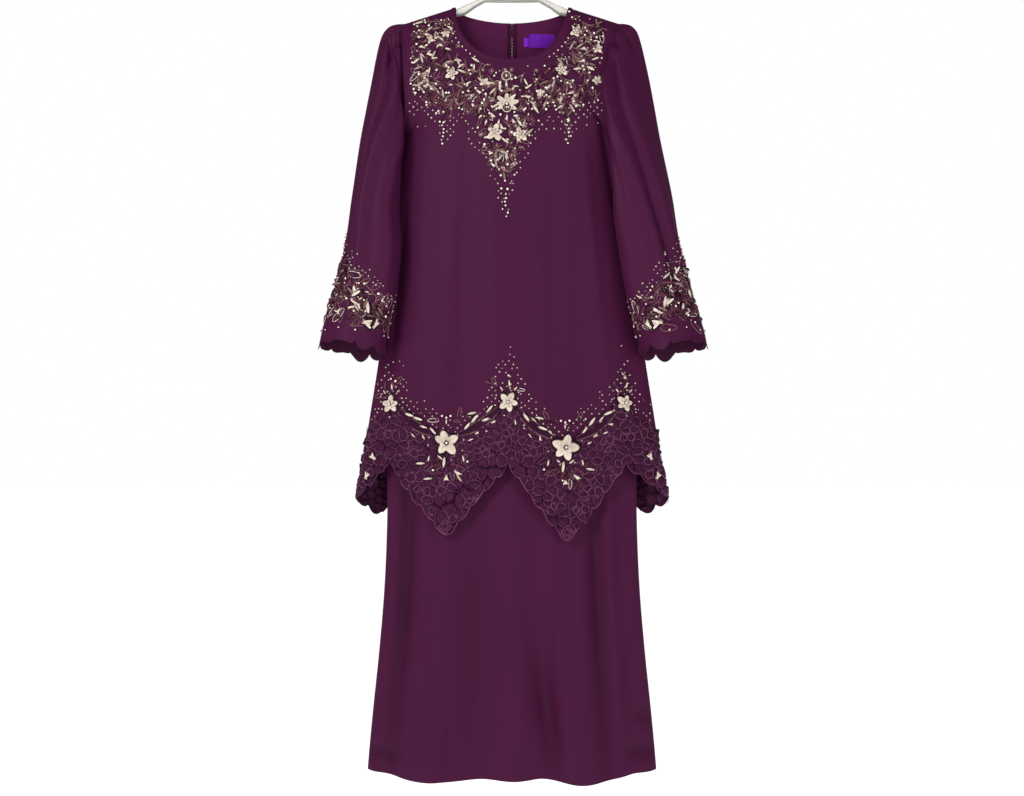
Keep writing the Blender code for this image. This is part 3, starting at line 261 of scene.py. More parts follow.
def read(table, column, at):
    """A column's value at each place, on a smooth curve through the table's rows."""
    places, values = column_of(table, table[0]._fields[0]), column_of(table, column)
    slopes = np.empty(len(values))
    slopes[1:-1] = (values[2:] - values[:-2]) / (places[2:] - places[:-2])
    slopes[0] = (values[1] - values[0]) / (places[1] - places[0])
    slopes[-1] = (values[-1] - values[-2]) / (places[-1] - places[-2])
    at = np.clip(at, places[0], places[-1])
    here = np.clip(np.searchsorted(places, at, "right") - 1, 0, len(places) - 2)
    span = places[here + 1] - places[here]
    share = (at - places[here]) / span
    rising = share * share * (3 - 2 * share)
    start = share * (1 - share) ** 2 * span * slopes[here]
    end = share * share * (1 - share) * span * slopes[here + 1]
    return values[here] + (values[here + 1] - values[here]) * rising + start - end


def between(values, place):
    """A value between the numbered values, on a smooth curve through them."""
    last = len(values) - 1
    place = np.clip(place, 0, last)
    here = np.minimum(place.astype(int), last - 1)
    share = place - here
    before, after = values[np.maximum(here - 1, 0)], values[np.minimum(here + 2, last)]
    start, end = values[here], values[here + 1]
    rising = share * share * (3 - 2 * share)
    bend = share * (1 - share) ** 2 * (end - before) - share * share * (1 - share) * (after - start)
    return start + (end - start) * rising + bend / 2


def stack(x, y, z):
    return np.stack(np.broadcast_arrays(x, y, z), axis=-1).astype(float)


def unit(vectors):
    return vectors / np.maximum(np.linalg.norm(vectors, axis=-1, keepdims=True), 1e-12)


def travel(steps):
    """Distance from the start of a line to each of its points."""
    return np.concatenate([[0], np.cumsum(steps)])


def bell(place, middle, width):
    return np.exp(-(((place - middle) / width) ** 2))


# ---- the tunic's surface: turn runs -1 to 1 across a panel, and level runs down it
def share_of(turn):
    return np.sin(turn * math.pi / 2)


def turn_of(share):
    return np.arcsin(np.clip(share, -1, 1)) * 2 / math.pi


def drop_of(level):
    return SHOULDER_ROUNDING * np.where(level <= 1, level * level, 2 * level - 1)


def level_of(drop):
    share = np.maximum(drop, 0) / SHOULDER_ROUNDING
    return np.where(share <= 1, np.sqrt(share), (share + 1) / 2)


def shoulder_height(share):
    """Height of the shoulder line. It is level across the neck and slopes beyond it."""
    beyond = np.abs(share) * SHOULDER_HALF_WIDTH - NECK_HALF_WIDTH
    slope = SHOULDER_FALL / (SHOULDER_HALF_WIDTH - NECK_HALF_WIDTH)
    return SHOULDER_TOP - slope * np.maximum(beyond, 0)


def level_at(share, height):
    return level_of(shoulder_height(share) - height)


def half_width(panel, share, drop):
    if panel == BACK:
        edge = read(ARMHOLE, "back", drop)
    else:
        edge = np.where(share > 0, read(ARMHOLE, "front_right", drop), read(ARMHOLE, "front_left", drop))
    keep = 1 - (1 - edge) * np.minimum(np.abs(share) * 1.4, 1)
    return read(TUNIC, "half_width", drop) * keep


def side_share(share, drop):
    """The armhole's share of the depth: sharp at the seam, and soft across the panel."""
    below = np.clip((drop - ARMHOLE_FULL_DROP) / (ARMHOLE_DEPTH - ARMHOLE_FULL_DROP), 0, 1)
    soft = 1 - ease(drop, ARMHOLE_FULL_DROP * 0.8, ARMHOLE_DEPTH * 1.35)
    return soft + (np.sqrt(1 - below * below) - soft) * ease(np.abs(share), 0.72, 1.0)


def fold_height(folds, share, height):
    """How far the folds stand out of a panel at a place."""
    total = 0.0
    for fold in folds:
        reach = ease(-height, -fold.top, -fold.bottom)
        total = total + fold.depth * reach * bell(share, fold.share, fold.half_width)
    return total


def creases(share, height, table):
    """How far the small creases, which only the cloth has, stand out at a place."""
    total = 0.0
    for crease in table:
        along = (height - crease.height) / crease.length
        lean = share - crease.share - crease.lean * (height - crease.height)
        total = total + crease.depth * np.exp(-(along**2) - (lean / crease.width) ** 2)
    return total


def hollow(share, height, table):
    """Painted shade in the creases: how deep a crease is here, from 0 on open cloth to 1, which darkens the
    crepe.
    """
    return {"hollow": np.clip(creases(share, height, table) / -CREASE_FOR_FULL_SHADE, 0, 1)}


def tunic(panel, turn, level):
    """A point on the outside of the tunic's front or back."""
    turn, level = np.asarray(turn, float), np.asarray(level, float)
    share, drop = share_of(turn), drop_of(level)
    height = shoulder_height(share) - drop
    depth = read(TUNIC, "half_depth", drop) * np.sin(math.pi / 2 * np.clip(level, -1, 1))
    pinch = read(TUNIC, "pinch", drop)
    edge = side_share(share, drop)
    across = np.cos(turn * math.pi / 2)
    section = edge + (1 - edge) * across * (1 - pinch * share * share)
    folds = fold_height(TUNIC_FOLDS[panel], share, height)
    out = depth * section + across * (folds + creases(share, height, TUNIC_CREASES[panel]))
    return stack(share * half_width(panel, share, drop), panel * (out + HALF_GAP), height)


def skirt(panel, turn, down):
    """A point on the outside of the skirt's front or back. down is the depth below the hook."""
    turn, down = np.asarray(turn, float), np.asarray(down, float)
    share, across = share_of(turn), np.cos(turn * math.pi / 2)
    pinch = read(SKIRT, "pinch", down)
    folds = fold_height(SKIRT_FOLDS[panel], share, -down)
    ripple = creases(share, -down, SKIRT_CREASES[panel])
    section = read(SKIRT, "half_depth", down) * (1 - pinch * share * share)
    out = (section + folds + ripple) * across
    return stack(share * read(SKIRT, "half_width", down), panel * (out + HALF_GAP), -down)


def armhole_ring(side, angle):
    """The edge of the tunic's armhole, one seam gap out, where a sleeve starts."""
    level = level_of(ARMHOLE_DEPTH * (1 - np.cos(angle)) / 2)
    turn = np.full_like(level, side)
    front, back = tunic(FRONT, turn, level), tunic(BACK, turn, level)
    point = np.where((np.sin(angle) > 0)[..., None], front, back)
    point[..., 0] += side * ARMHOLE_GAP
    point[..., 1] = np.where(np.abs(np.sin(angle)) < 1e-6, 0, point[..., 1])
    return point


def sleeve(side, angle, ring):
    """A point on the outside of a sleeve. Angle 0 is the top, and pi/2 is the front."""
    angle, ring = (np.array(part, float) for part in np.broadcast_arrays(angle, ring))
    table = SLEEVES[side]
    row = Ring(*(between(column_of(table, name), np.maximum(ring - 1, 0)) for name in Ring._fields))
    outer = stack(side * row.outer_x, row.outer_y, row.outer_z)
    inner = stack(side * row.inner_x, row.inner_y, row.inner_z)
    axis = (outer - inner) / 2
    ahead = np.array([0.0, -1.0, 0.0])
    along = (axis * ahead).sum(-1, keepdims=True) / (axis * axis).sum(-1, keepdims=True)
    forward = unit(ahead - axis * along) * row.half_depth[..., None]
    forward[..., 0] -= side * row.skew * row.half_depth * (np.sin(angle) > 0)
    forward[..., 2] += row.rise
    level = level_of(ARMHOLE_DEPTH * (1 - np.cos(angle)) / 2)
    spread = np.cos(np.clip(level / GATHER_SPREAD, 0, 1) * math.pi / 2)
    ripple = row.gather * spread * (np.cos(2 * math.pi * level / GATHER_STEP) - 1)
    at, reach, depth = PINCH[side]
    drawn = depth * bell(ring, at, reach) * ease(np.sin(angle), 0.15, 0.6)
    ripple = ripple + sleeve_folds(side, angle, ring) - drawn
    turned = np.abs(np.angle(np.exp(1j * angle)))
    short = ease(turned, 0.02, 0.25) * (1 - ease(turned, 0.75, 1.30))
    for at, reach, depth in HEAD_FOLDS:
        ripple = ripple - depth * short * bell(ring, at, reach)
    stretch = (1 + ripple / row.half_depth)[..., None]
    swing = axis * np.cos(angle)[..., None] + forward * np.sin(angle)[..., None]
    tube = (outer + inner) / 2 + swing * stretch
    sewn = np.clip(ring, 0, 1)[..., None]
    return armhole_ring(side, angle) * (1 - sewn) + tube * sewn


def sleeve_folds(side, angle, ring):
    """The long soft folds down a sleeve, which fade out at its head and its cuff."""
    total = 0.0
    for fold in SLEEVE_FOLDS[side]:
        reach = ease(ring, fold.top, fold.top + 2) * (1 - ease(ring, fold.bottom - 1.5, fold.bottom))
        apart = np.angle(np.exp(1j * (angle - fold.angle - fold.lean * (ring - fold.top))))
        total = total + fold.depth * reach * bell(apart, 0, fold.half_width)
    return total


def normals_of(surface, across, down, outward):
    """The cloth's normals, out of the garment."""
    step = 1e-4
    along = surface(across + step, down) - surface(across - step, down)
    fall = surface(across, down + step) - surface(across, down - step)
    return unit(np.cross(along, fall)) * outward


# ---- the grounds that embroidery lies on: a flat plan in metres, and its place on the cloth
class PanelGround:
    """Plan places are x and height on a front or back panel."""

    def __init__(self, side):
        self.side = side

    def surface(self, x, height):
        share = x / SHOULDER_HALF_WIDTH
        for _ in range(12):
            drop = shoulder_height(share) - height
            share = np.clip(x / half_width(self.side, share, drop), -0.9999, 0.9999)
        return tunic(self.side, turn_of(share), level_at(share, height))

    def place(self, across, up, lift=0.0):
        """Points this far out of the cloth, and the cloth's normals there."""
        across, up = np.asarray(across, float), np.asarray(up, float)
        normals = normals_of(self.surface, across, up, -self.side)
        return self.surface(across, up) + normals * np.asarray(lift)[..., None], normals


class SleeveGround(PanelGround):
    """Plan places are a distance round the sleeve from its outer edge, and up from its cuff seam."""

    def __init__(self, side):
        super().__init__(side)
        table = SLEEVES[side]
        ends = [[column_of(table, f"{end}_{axis}") for axis in "xyz"] for end in ("outer", "inner")]
        middle = stack(*(np.array(ends[0]) + ends[1]) / 2)
        travelled = travel(np.linalg.norm(np.diff(middle, axis=0), axis=1))
        self.rings = np.arange(len(table)) + 1.0
        self.up = np.interp(CUFF_SEAM, self.rings, travelled) - travelled

    def surface(self, across, up):
        angle = across / CUFF_RADIUS
        return sleeve(self.side, angle, np.interp(up, self.up[::-1], self.rings[::-1]))


# ---- sizes and colours that a user would change
def length(name, description, default):
    return bpy.props.FloatProperty(
        name=name, description=description, default=default, min=0, unit="LENGTH", precision=4
    )


def colour(name, description, *default):
    return bpy.props.FloatVectorProperty(
        name=name, description=description, default=default, size=3, min=0, max=1, subtype="COLOR"
    )


class ClothSettings(bpy.types.PropertyGroup):
    thickness: length("Cloth", "Thickness of the crepe", 0.0009)
    crepe: colour("Crepe", "Colour of the crepe", 0.0520, 0.0060, 0.0330)
    lace: colour("Lace", "Colour of the lace's ground", 0.0440, 0.0048, 0.0290)
    lace_cord: colour("Lace cord", "Colour of the cord that outlines the lace", 0.205, 0.056, 0.142)
    shadow: colour("Deep plum", "Colour of the dark satin cord and leaves", 0.0190, 0.0020, 0.0110)


class LaceSettings(bpy.types.PropertyGroup):
    rose: length("Rose", "Distance between the lace's roses", 0.0395)
    petal: length("Petal", "Distance from a rose's heart to its petals", 0.0143)
    cup: length("Cup", "How far a petal stands out of the lace", 0.0034)
    cord: length("Cord", "Thickness of the cord round the petals", 0.00095)


class EmbroiderySettings(bpy.types.PropertyGroup):
    cream: colour("Cream", "Colour of the cream satin", 0.860, 0.710, 0.590)
    rose: colour("Rose", "Colour of the rose thread", 0.250, 0.135, 0.130)
    # Relief is the painted highlight colour on the plum leaves' raised middle.
    relief: colour("Relief", "Colour of the plum leaves' raised middle", 0.165, 0.040, 0.078)
    pearl: length("Pearl", "Diameter of a pearl", 0.0044)
    bead: length("Bead", "Diameter of a bead", 0.0032)
    leaf: length("Leaf", "Length of an embroidered leaf", 0.0168)
    stem: length("Stem", "Thickness of an embroidered stem", 0.0014)


class HardwareSettings(bpy.types.PropertyGroup):
    plastic: colour("Hanger", "Colour of the hanger", 0.790, 0.760, 0.700)
    steel: colour("Steel", "Colour of the hook and the zip", 0.620, 0.600, 0.580)
    label: colour("Label", "Colour of the satin label", 0.170, 0.016, 0.420)


class StageSettings(bpy.types.PropertyGroup):
    distance: length("Distance", "Camera's distance from the garment", 3.55)
    eye_height: bpy.props.FloatProperty(
        name="Eye height", description="Camera's height", default=-0.806, unit="LENGTH"
    )
    lens: bpy.props.FloatProperty(
        name="Lens", description="Camera's focal length, in millimetres", default=69.95, min=1
    )


class BajuKurungSettings(bpy.types.PropertyGroup):
    cloth: bpy.props.PointerProperty(type=ClothSettings)
    lace: bpy.props.PointerProperty(type=LaceSettings)
    embroidery: bpy.props.PointerProperty(type=EmbroiderySettings)
    hardware: bpy.props.PointerProperty(type=HardwareSettings)
    stage: bpy.props.PointerProperty(type=StageSettings)


def settings():
    return bpy.context.scene.baju_kurung


# ---- materials
def feed(tree, socket, value):
    """Links a socket or sets its value. A colour is given without its alpha."""
    value = getattr(value, "link", value)
    if isinstance(value, bpy.types.NodeSocket):
        tree.links.new(value, socket)
    elif socket.type == "RGBA":
        socket.default_value = (*value, 1)
    else:
        socket.default_value = value


def add_node(tree, kind, given=None, sockets=None):
    """A node of this type, with its settings and then its sockets' values or links."""
    made = tree.nodes.new(kind)
    for name, value in (given or {}).items():
        setattr(made, name, value)
    for name, value in (sockets or {}).items():
        feed(tree, made.inputs[name], value)
    return made


class Socket:
    """A node's output that Python's operators build Math nodes on."""

    def __init__(self, tree, link):
        self.tree = tree
        self.link = link

    def math(self, operation, other=0.0, swapped=False):
        pair = (other, self) if swapped else (self, other)
        made = add_node(self.tree, "ShaderNodeMath", {"operation": operation}, dict(enumerate(pair)))
        return Socket(self.tree, made.outputs[0])


for sign, operation in (("add", "ADD"), ("sub", "SUBTRACT"), ("mul", "MULTIPLY")):
    setattr(Socket, f"__{sign}__", lambda mine, other, kind=operation: mine.math(kind, other))
    setattr(Socket, f"__r{sign}__", lambda mine, other, kind=operation: mine.math(kind, other, True))


class Finish:
    """A material under construction, with its shader."""

    def __init__(self, name, roughness, metallic=0, sheen=0, coat=0, specular=0.5):
        self.made = bpy.data.materials.new(name)
        self.made.use_nodes = True
        self.tree = self.made.node_tree
        self.shader = self.tree.nodes["Principled BSDF"]
        self.set("Roughness", roughness)
        self.set("Metallic", metallic)
        self.set("Sheen Weight", sheen)
        self.set("Coat Weight", coat)
        self.set("Specular IOR Level", specular)

    def set(self, name, value):
        feed(self.tree, self.shader.inputs[name], value)

    def node(self, output, kind, given=None, **sockets):
        return Socket(self.tree, add_node(self.tree, kind, given, sockets).outputs[output])

    def noise(self, scale, detail=1.0, stretch=None):
        place = self.node("Object", "ShaderNodeTexCoord")
        if stretch:
            place = self.node(0, "ShaderNodeMapping", Vector=place, Scale=stretch)
        return self.node("Fac", "ShaderNodeTexNoise", Vector=place, Scale=scale, Detail=detail)

    def attribute(self, name):
        return self.node("Fac", "ShaderNodeAttribute", {"attribute_name": name})

    def mix(self, share, first, second):
        """A colour between two, which may each be a colour or a socket."""
        made = add_node(self.tree, "ShaderNodeMix", {"data_type": "RGBA"}, {0: share, 6: first, 7: second})
        return Socket(self.tree, made.outputs[2])

    def ramp(self, share, stops):
        """A number that follows these (place, value) stops."""
        made = add_node(self.tree, "ShaderNodeValToRGB", sockets={"Fac": share})
        elements = made.color_ramp.elements
        while len(elements) < len(stops):
            elements.new(0.5)
        for element, (place, value) in zip(elements, stops):
            element.position = place
            element.color = (value, value, value, 1)
        return Socket(self.tree, made.outputs["Color"])

    def bump(self, height, distance, strength):
        made = self.node("Normal", "ShaderNodeBump", Height=height, Distance=distance, Strength=strength)
        self.set("Normal", made)


def tint(value, share):
    """A colour made lighter, or darker below 1."""
    return tuple(min(part * share, 1.0) for part in value)


def crepe_finish(name, base):
    """Crepe: a fine pebbled weave with a soft sheen and slow changes of depth, with painted shade in its
    creases and inside closed tubes, and painted light on the inner face of open pieces.
    """
    made = Finish(name, roughness=0.50, sheen=0.04, specular=0.07)
    made.set("Sheen Roughness", 0.45)
    made.set("Sheen Tint", (0.62, 0.20, 0.50))
    grain = made.noise(1500, stretch=(1, 1, 0.45))
    pebble = made.noise(620, detail=2)
    depth = made.mix(made.noise(5, detail=2), tint(base, 0.90), tint(base, 1.12))
    # Painted light: the inner face of an open piece, such as the inside of the back seen through the neck, is
    # lightened.
    depth = made.mix(made.attribute("wrong_side"), depth, tint(base, 1.75))
    # Painted shade: creases and the inner face of closed tubes are darkened.
    depth = made.mix(made.attribute("hollow"), depth, tint(base, 0.60))
    made.set("Base Color", made.mix(grain * 0.35, depth, tint(base, 1.45)))
    made.set("Roughness", 0.44 + grain * 0.16)
    made.bump(grain * 0.6 + pebble * 0.4, 0.00012, 0.55)
    return made.made


def lace_finish(name, base):
    """Lace: a fine net under satin stitch, with painted shade in its holes and between the petals, and the
    petals painted lighter where they stand out most.
    """
    made = Finish(name, roughness=0.5, sheen=0.03, specular=0.08)
    flat = made.node("UV", "ShaderNodeTexCoord")
    edges = {"feature": "DISTANCE_TO_EDGE"}
    net = made.node("Distance", "ShaderNodeTexVoronoi", edges, Vector=flat, Scale=720)
    mesh = made.ramp(net, ((0, 1), (0.16, 0.75), (0.30, 0)))
    stitch = (made.attribute("stitch") * 5000).math("SINE") * 0.5 + 0.5
    rise = made.attribute("rise")
    # Painted shade: the net's holes and the ground between the petals are darkened, for the shade seen
    # through them, and rise paints the petals lighter.
    ground = made.mix(mesh, tint(base, 0.12), tint(base, 0.45))
    petal = made.mix(stitch, tint(base, 0.85), tint(base, 1.7))
    made.set("Base Color", made.mix(rise, ground, petal))
    made.set("Roughness", 0.62 - rise * 0.22)
    made.bump(mesh * (1 - rise) * 0.8 + stitch * rise * 0.5, 0.00025, 0.7)
    return made.made


def satin_finish(name, dark, light):
    """Satin stitch: fine threads side by side, with a painted highlight where they crown and painted shade
    where they fall away.
    """
    made = Finish(name, roughness=0.32, specular=0.12)
    thread = made.noise(1400, stretch=(1, 1, 0.12))
    streak = made.noise(308, stretch=(1, 1, 0.15))
    crown = made.mix(made.attribute("tone") * (0.60 + streak * 0.80), dark, light)
    # Painted light and shade: rise makes the raised crown lighter and the low edges, grooves and roots
    # darker.
    made.set("Base Color", made.mix(made.attribute("rise").math("POWER", 0.5), tint(dark, 0.30), crown))
    made.set("Roughness", 0.26 + thread * 0.16)
    made.bump(thread, 0.00020, 0.7)
    return made.made


def cord_finish(name, base):
    """A twisted cord: its strands wind round it, darker between them."""
    made = Finish(name, roughness=0.46, sheen=0.04, specular=0.12)
    strand = made.noise(1100, stretch=(1, 1, 0.35))
    made.set("Base Color", made.mix(strand, tint(base, 0.62), tint(base, 1.35)))
    made.bump(strand, 0.00025, 0.8)
    return made.made


def pearl_finish(name, base):
    made = Finish(name, roughness=0.18, coat=0.5, specular=0.6)
    made.set("Coat Roughness", 0.08)
    cloud = made.noise(700)
    made.set("Base Color", made.mix(cloud, tint(base, 0.82), tint(base, 1.12)))
    made.set("Roughness", 0.14 + cloud * 0.12)
    return made.made


def plastic_finish(name, base):
    """Moulded plastic: a faint orange-peel skin, with painted shade on its underside."""
    made = Finish(name, roughness=0.32, coat=0.15)
    peel = made.noise(260, detail=2)
    face = made.mix(made.noise(14), tint(base, 0.94), tint(base, 1.02))
    # Painted shade: the under numbers darken the faces that look down.
    made.set("Base Color", made.mix(made.attribute("under"), face, tint(base, 0.42)))
    made.set("Roughness", 0.26 + peel * 0.14)
    made.bump(peel, 0.00010, 0.35)
    return made.made


def steel_finish(name, base):
    """Bright plated steel with fine draw lines and cloudy wear."""
    made = Finish(name, roughness=0.22, metallic=1)
    drawn = made.noise(900, detail=2, stretch=(1, 1, 0.08))
    cloud = made.noise(90, detail=2)
    made.set("Base Color", made.mix(cloud, tint(base, 0.86), tint(base, 1.06)))
    made.set("Roughness", 0.14 + drawn * 0.14 + cloud * 0.10)
    made.bump(drawn, 0.00005, 0.3)
    return made.made


def ribbon_finish(name, base):
    """Satin ribbon: fine ribs across it and a bright, slightly uneven face."""
    made = Finish(name, roughness=0.34, specular=0.05)
    rib = made.noise(1300, stretch=(0.10, 1, 1))
    made.set("Base Color", made.mix(made.noise(60), tint(base, 0.86), tint(base, 1.18)))
    made.set("Roughness", 0.24 + rib * 0.16)
    made.bump(rib, 0.00010, 0.5)
    return made.made


def floor_finish():
    made = Finish("pale floor", roughness=0.8, specular=0.1)
    made.set("Base Color", made.mix(made.noise(1.5, detail=2), (0.90, 0.90, 0.90), (0.94, 0.94, 0.94)))
    made.set("Emission Color", (1, 1, 1))
    made.set("Emission Strength", 0.95)
    return made.made


def looks():
    """What makes each look: a finish, the material's name, and its colours."""
    cloth, work, hardware = settings().cloth, settings().embroidery, settings().hardware
    return {
        "crepe": (crepe_finish, "plum crepe", cloth.crepe),
        "lace": (lace_finish, "corded lace", cloth.lace),
        "lace cord": (cord_finish, "lace cord", cloth.lace_cord),
        "dark satin": (satin_finish, "dark satin", cloth.shadow, tint(cloth.crepe, 1.9)),
        "cream satin": (satin_finish, "cream satin", tint(work.rose, 0.8), tint(work.cream, 1.2)),
        "plum satin": (satin_finish, "plum satin", cloth.shadow, work.relief),
        "rose satin": (satin_finish, "rose satin", tint(work.rose, 0.55), tint(work.rose, 1.35)),
        "plum thread": (cord_finish, "plum thread", tint(cloth.crepe, 0.8)),
        "rose thread": (cord_finish, "rose thread", work.rose),
        "cream thread": (cord_finish, "cream thread", work.cream),
        "violet thread": (cord_finish, "violet thread", tint(hardware.label, 0.6)),
        "bead": (pearl_finish, "bead", tint(work.cream, 0.62)),
        "pearl": (pearl_finish, "pearl", tint(work.cream, 1.15)),
        "plastic": (plastic_finish, "ivory plastic", hardware.plastic),
        "steel": (steel_finish, "plated steel", hardware.steel),
        "tape": (ribbon_finish, "woven tape", tint(cloth.crepe, 0.9)),
        "label": (ribbon_finish, "violet satin", hardware.label),
        "pale label": (ribbon_finish, "pale violet satin", tint(hardware.label, 1.6)),
    }


FINISHED = {}


def finish(look):
    """The material of this look, made when it is first asked for."""
    if look not in FINISHED:
        maker, *given = looks()[look]
        FINISHED[look] = maker(*given).name
    return bpy.data.materials[FINISHED[look]]


# ---- making pieces
def add_piece(name, mesh, look):
    """Puts a finished mesh in the scene, on the garment's body."""
    mesh.materials.clear()
    mesh.materials.append(finish(look))
    obj = bpy.data.objects.new(name, mesh)
    bpy.context.scene.collection.objects.link(obj)
    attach(obj, BODY)
    return obj


def keep_numbers(mesh, key, values, kind="FLOAT", field="value"):
    """Keeps a number, or a direction, at each of the mesh's points."""
    made = mesh.attributes.new(key, kind, "POINT")
    made.data.foreach_set(field, np.asarray(values, np.float32).ravel())


def mesh_of(name, points, faces, attributes=None, uv=None, sharp=80):
    """A smooth mesh with its faces turned out, and numbers kept for the materials."""
    mesh = bpy.data.meshes.new(name)
    mesh.from_pydata(np.asarray(points).tolist(), [], [list(map(int, face)) for face in faces])
    for key, values in (attributes or {}).items():
        keep_numbers(mesh, key, values)
    if uv is not None:
        corners = np.empty(len(mesh.loops), np.int32)
        mesh.loops.foreach_get("vertex_index", corners)
        layer = mesh.uv_layers.new(name="UVMap")
        layer.data.foreach_set("uv", np.asarray(uv, np.float32)[corners].ravel())
    bm = bmesh.new()
    bm.from_mesh(mesh)
    bmesh.ops.recalc_face_normals(bm, faces=bm.faces)
    bm.to_mesh(mesh)
    bm.free()
    mesh.shade_smooth()
    mesh.set_sharp_from_angle(angle=math.radians(sharp))
    return mesh


def quads(index):
    """The faces between the neighbours of a grid of point numbers, row by row."""
    return np.stack([index[:-1, :-1], index[:-1, 1:], index[1:, 1:], index[1:, :-1]], -1).reshape(-1, 4)


def wall(count, start, end):
    """Faces that join two lines of point numbers, one wall thickness apart."""
    return np.stack([start, end, end + count, start + count], -1)


def shell(name, outer, normals, look, plan, thickness=None, closed=False, attributes=None):
    """A thin wall of cloth. outer is rows x columns of points, and plan its flat places."""
    thickness = thickness or settings().cloth.thickness
    count = outer[..., 0].size
    points = np.concatenate([outer.reshape(-1, 3), (outer - normals * thickness).reshape(-1, 3)])
    index = np.arange(count).reshape(outer.shape[:2])
    if closed:
        index = np.concatenate([index, index[:, :1]], 1)
    outside = quads(index)
    rims = [wall(count, index[0, 1:], index[0, :-1]), wall(count, index[-1, :-1], index[-1, 1:])]
    if not closed:
        rims += [wall(count, edge[:-1], edge[1:]) for edge in (index[:, 0], index[::-1, -1])]
    faces = np.concatenate([outside, outside[:, ::-1] + count, *rims])
    both = {key: np.tile(np.ravel(values), 2) for key, values in (attributes or {}).items()}
    # The inner face of an open piece is marked for painted light, and that of a closed tube for painted
    # shade.
    both["hollow" if closed else "wrong_side"] = np.repeat([0.0, 1.0], count)
    uv = np.tile(np.stack(np.broadcast_arrays(*plan), -1).reshape(-1, 2), (2, 1))
    return add_piece(name, mesh_of(name, points, faces, both, uv, sharp=50), look)


# ---- cords and stems
CORD_SIDES = 4
Line = namedtuple("Line", "plan radius lift closed")


def cord_part(points, normals, radius, closed=False):
    """(points, faces) of a round cord that lies on the cloth, thin at its ends."""
    points, normals = np.asarray(points), np.asarray(normals)
    if closed:
        along = unit(np.roll(points, -1, 0) - np.roll(points, 1, 0))
        thick = np.full(len(points), radius)
    else:
        along = unit(np.gradient(points, axis=0))
        place = np.linspace(0, 1, len(points))
        thick = radius * (0.45 + 0.55 * np.clip(np.minimum(place, 1 - place) * 6, 0, 1))
    across = unit(np.cross(along, normals))
    out = np.cross(across, along)
    angles = (2 * math.pi * np.arange(CORD_SIDES) / CORD_SIDES)[:, None]
    ring = across[:, None] * np.cos(angles) + out[:, None] * np.sin(angles)
    made = (points[:, None] + ring * thick[:, None, None]).reshape(-1, 3)
    index = np.arange(len(made)).reshape(-1, CORD_SIDES)
    index = np.concatenate([index, index[:, :1]], 1)
    if closed:
        return made, quads(np.concatenate([index, index[:1]])).tolist()
    return made, [*quads(index).tolist(), index[0, -2::-1].tolist(), index[-1, :-1].tolist()]


def cords(name, ground, lines, look):
    """One piece: a cord along each Line, laid on the cloth."""
    points, faces, start = [], [], 0
    for line in lines:
        places, normals = ground.place(*line.plan.T, line.radius * 0.9 + line.lift)
        some_points, some_faces = cord_part(places, normals, line.radius, line.closed)
        points.append(some_points)
        faces += [[corner + start for corner in face] for face in some_faces]
        start += len(some_points)
    return add_piece(name, mesh_of(name, np.concatenate(points), faces), look)


# ---- motifs: small shapes, 1 long, that Geometry Nodes set on the cloth
def motif_leaf(pointed=True, width=0.30, height=0.17, groove=0.55, root=0.30):
    """A padded leaf from 0 to 1 along Y, grooved down its middle. Its rise numbers give it a painted
    highlight on its crown and painted shade in its groove and at its edges, and make it darker at its root.
    """
    rows, across = 6, (-1.0, -0.55, 0.0, 0.55, 1.0)
    points, rise = [(0, 0, 0)], [0.0]
    for i in range(1, rows):
        y = i / rows
        swell = math.sin(math.pi * y) ** (0.8 if pointed else 0.55) * (1.15 - 0.3 * y)
        for place in across:
            crown = (1 - place * place) * (groove if place == 0 else 1.0)
            points.append((place * width / 2 * swell, y, height * crown * swell + 0.01))
            rise.append(min(1.0, crown * 1.3 * (root + (1 - root) * y)))
    points.append((0, 1, 0))
    rise.append(0.0)
    index = np.arange(1, len(points) - 1).reshape(-1, len(across))
    under = [0, *index[:, 0], len(points) - 1, *index[::-1, -1]]
    return mesh_of("leaf", points, [*closed_faces(index), under], {"rise": rise}, sharp=70)


def closed_faces(index):
    """Faces of a grid of points, with point 0 before it and the last point after it."""
    faces = []
    for j in range(index.shape[1] - 1):
        strip = index[:, j : j + 2]
        faces += [[0, strip[0, 1], strip[0, 0]], [*strip[-1], index.max() + 1], *quads(strip)]
    return faces


def ring_index(rings, sides):
    """Numbers of the points in closed rings, after a first point 0."""
    index = np.arange(1, rings * sides + 1).reshape(rings, sides)
    return np.concatenate([index, index[:, :1]], 1)


def motif_bead(rings=5, sides=8, squash=0.85):
    """A bead 1 across, sitting on the cloth."""
    points = [(0, 0, 0)]
    for i in range(1, rings):
        polar = math.pi * i / rings
        for j in range(sides):
            turn = 2 * math.pi * j / sides
            x, y = math.sin(polar) * math.cos(turn) / 2, math.sin(polar) * math.sin(turn) / 2
            points.append((x, y, squash * (1 - math.cos(polar)) / 2))
    points.append((0, 0, squash))
    return mesh_of("bead", points, closed_faces(ring_index(rings - 1, sides)))


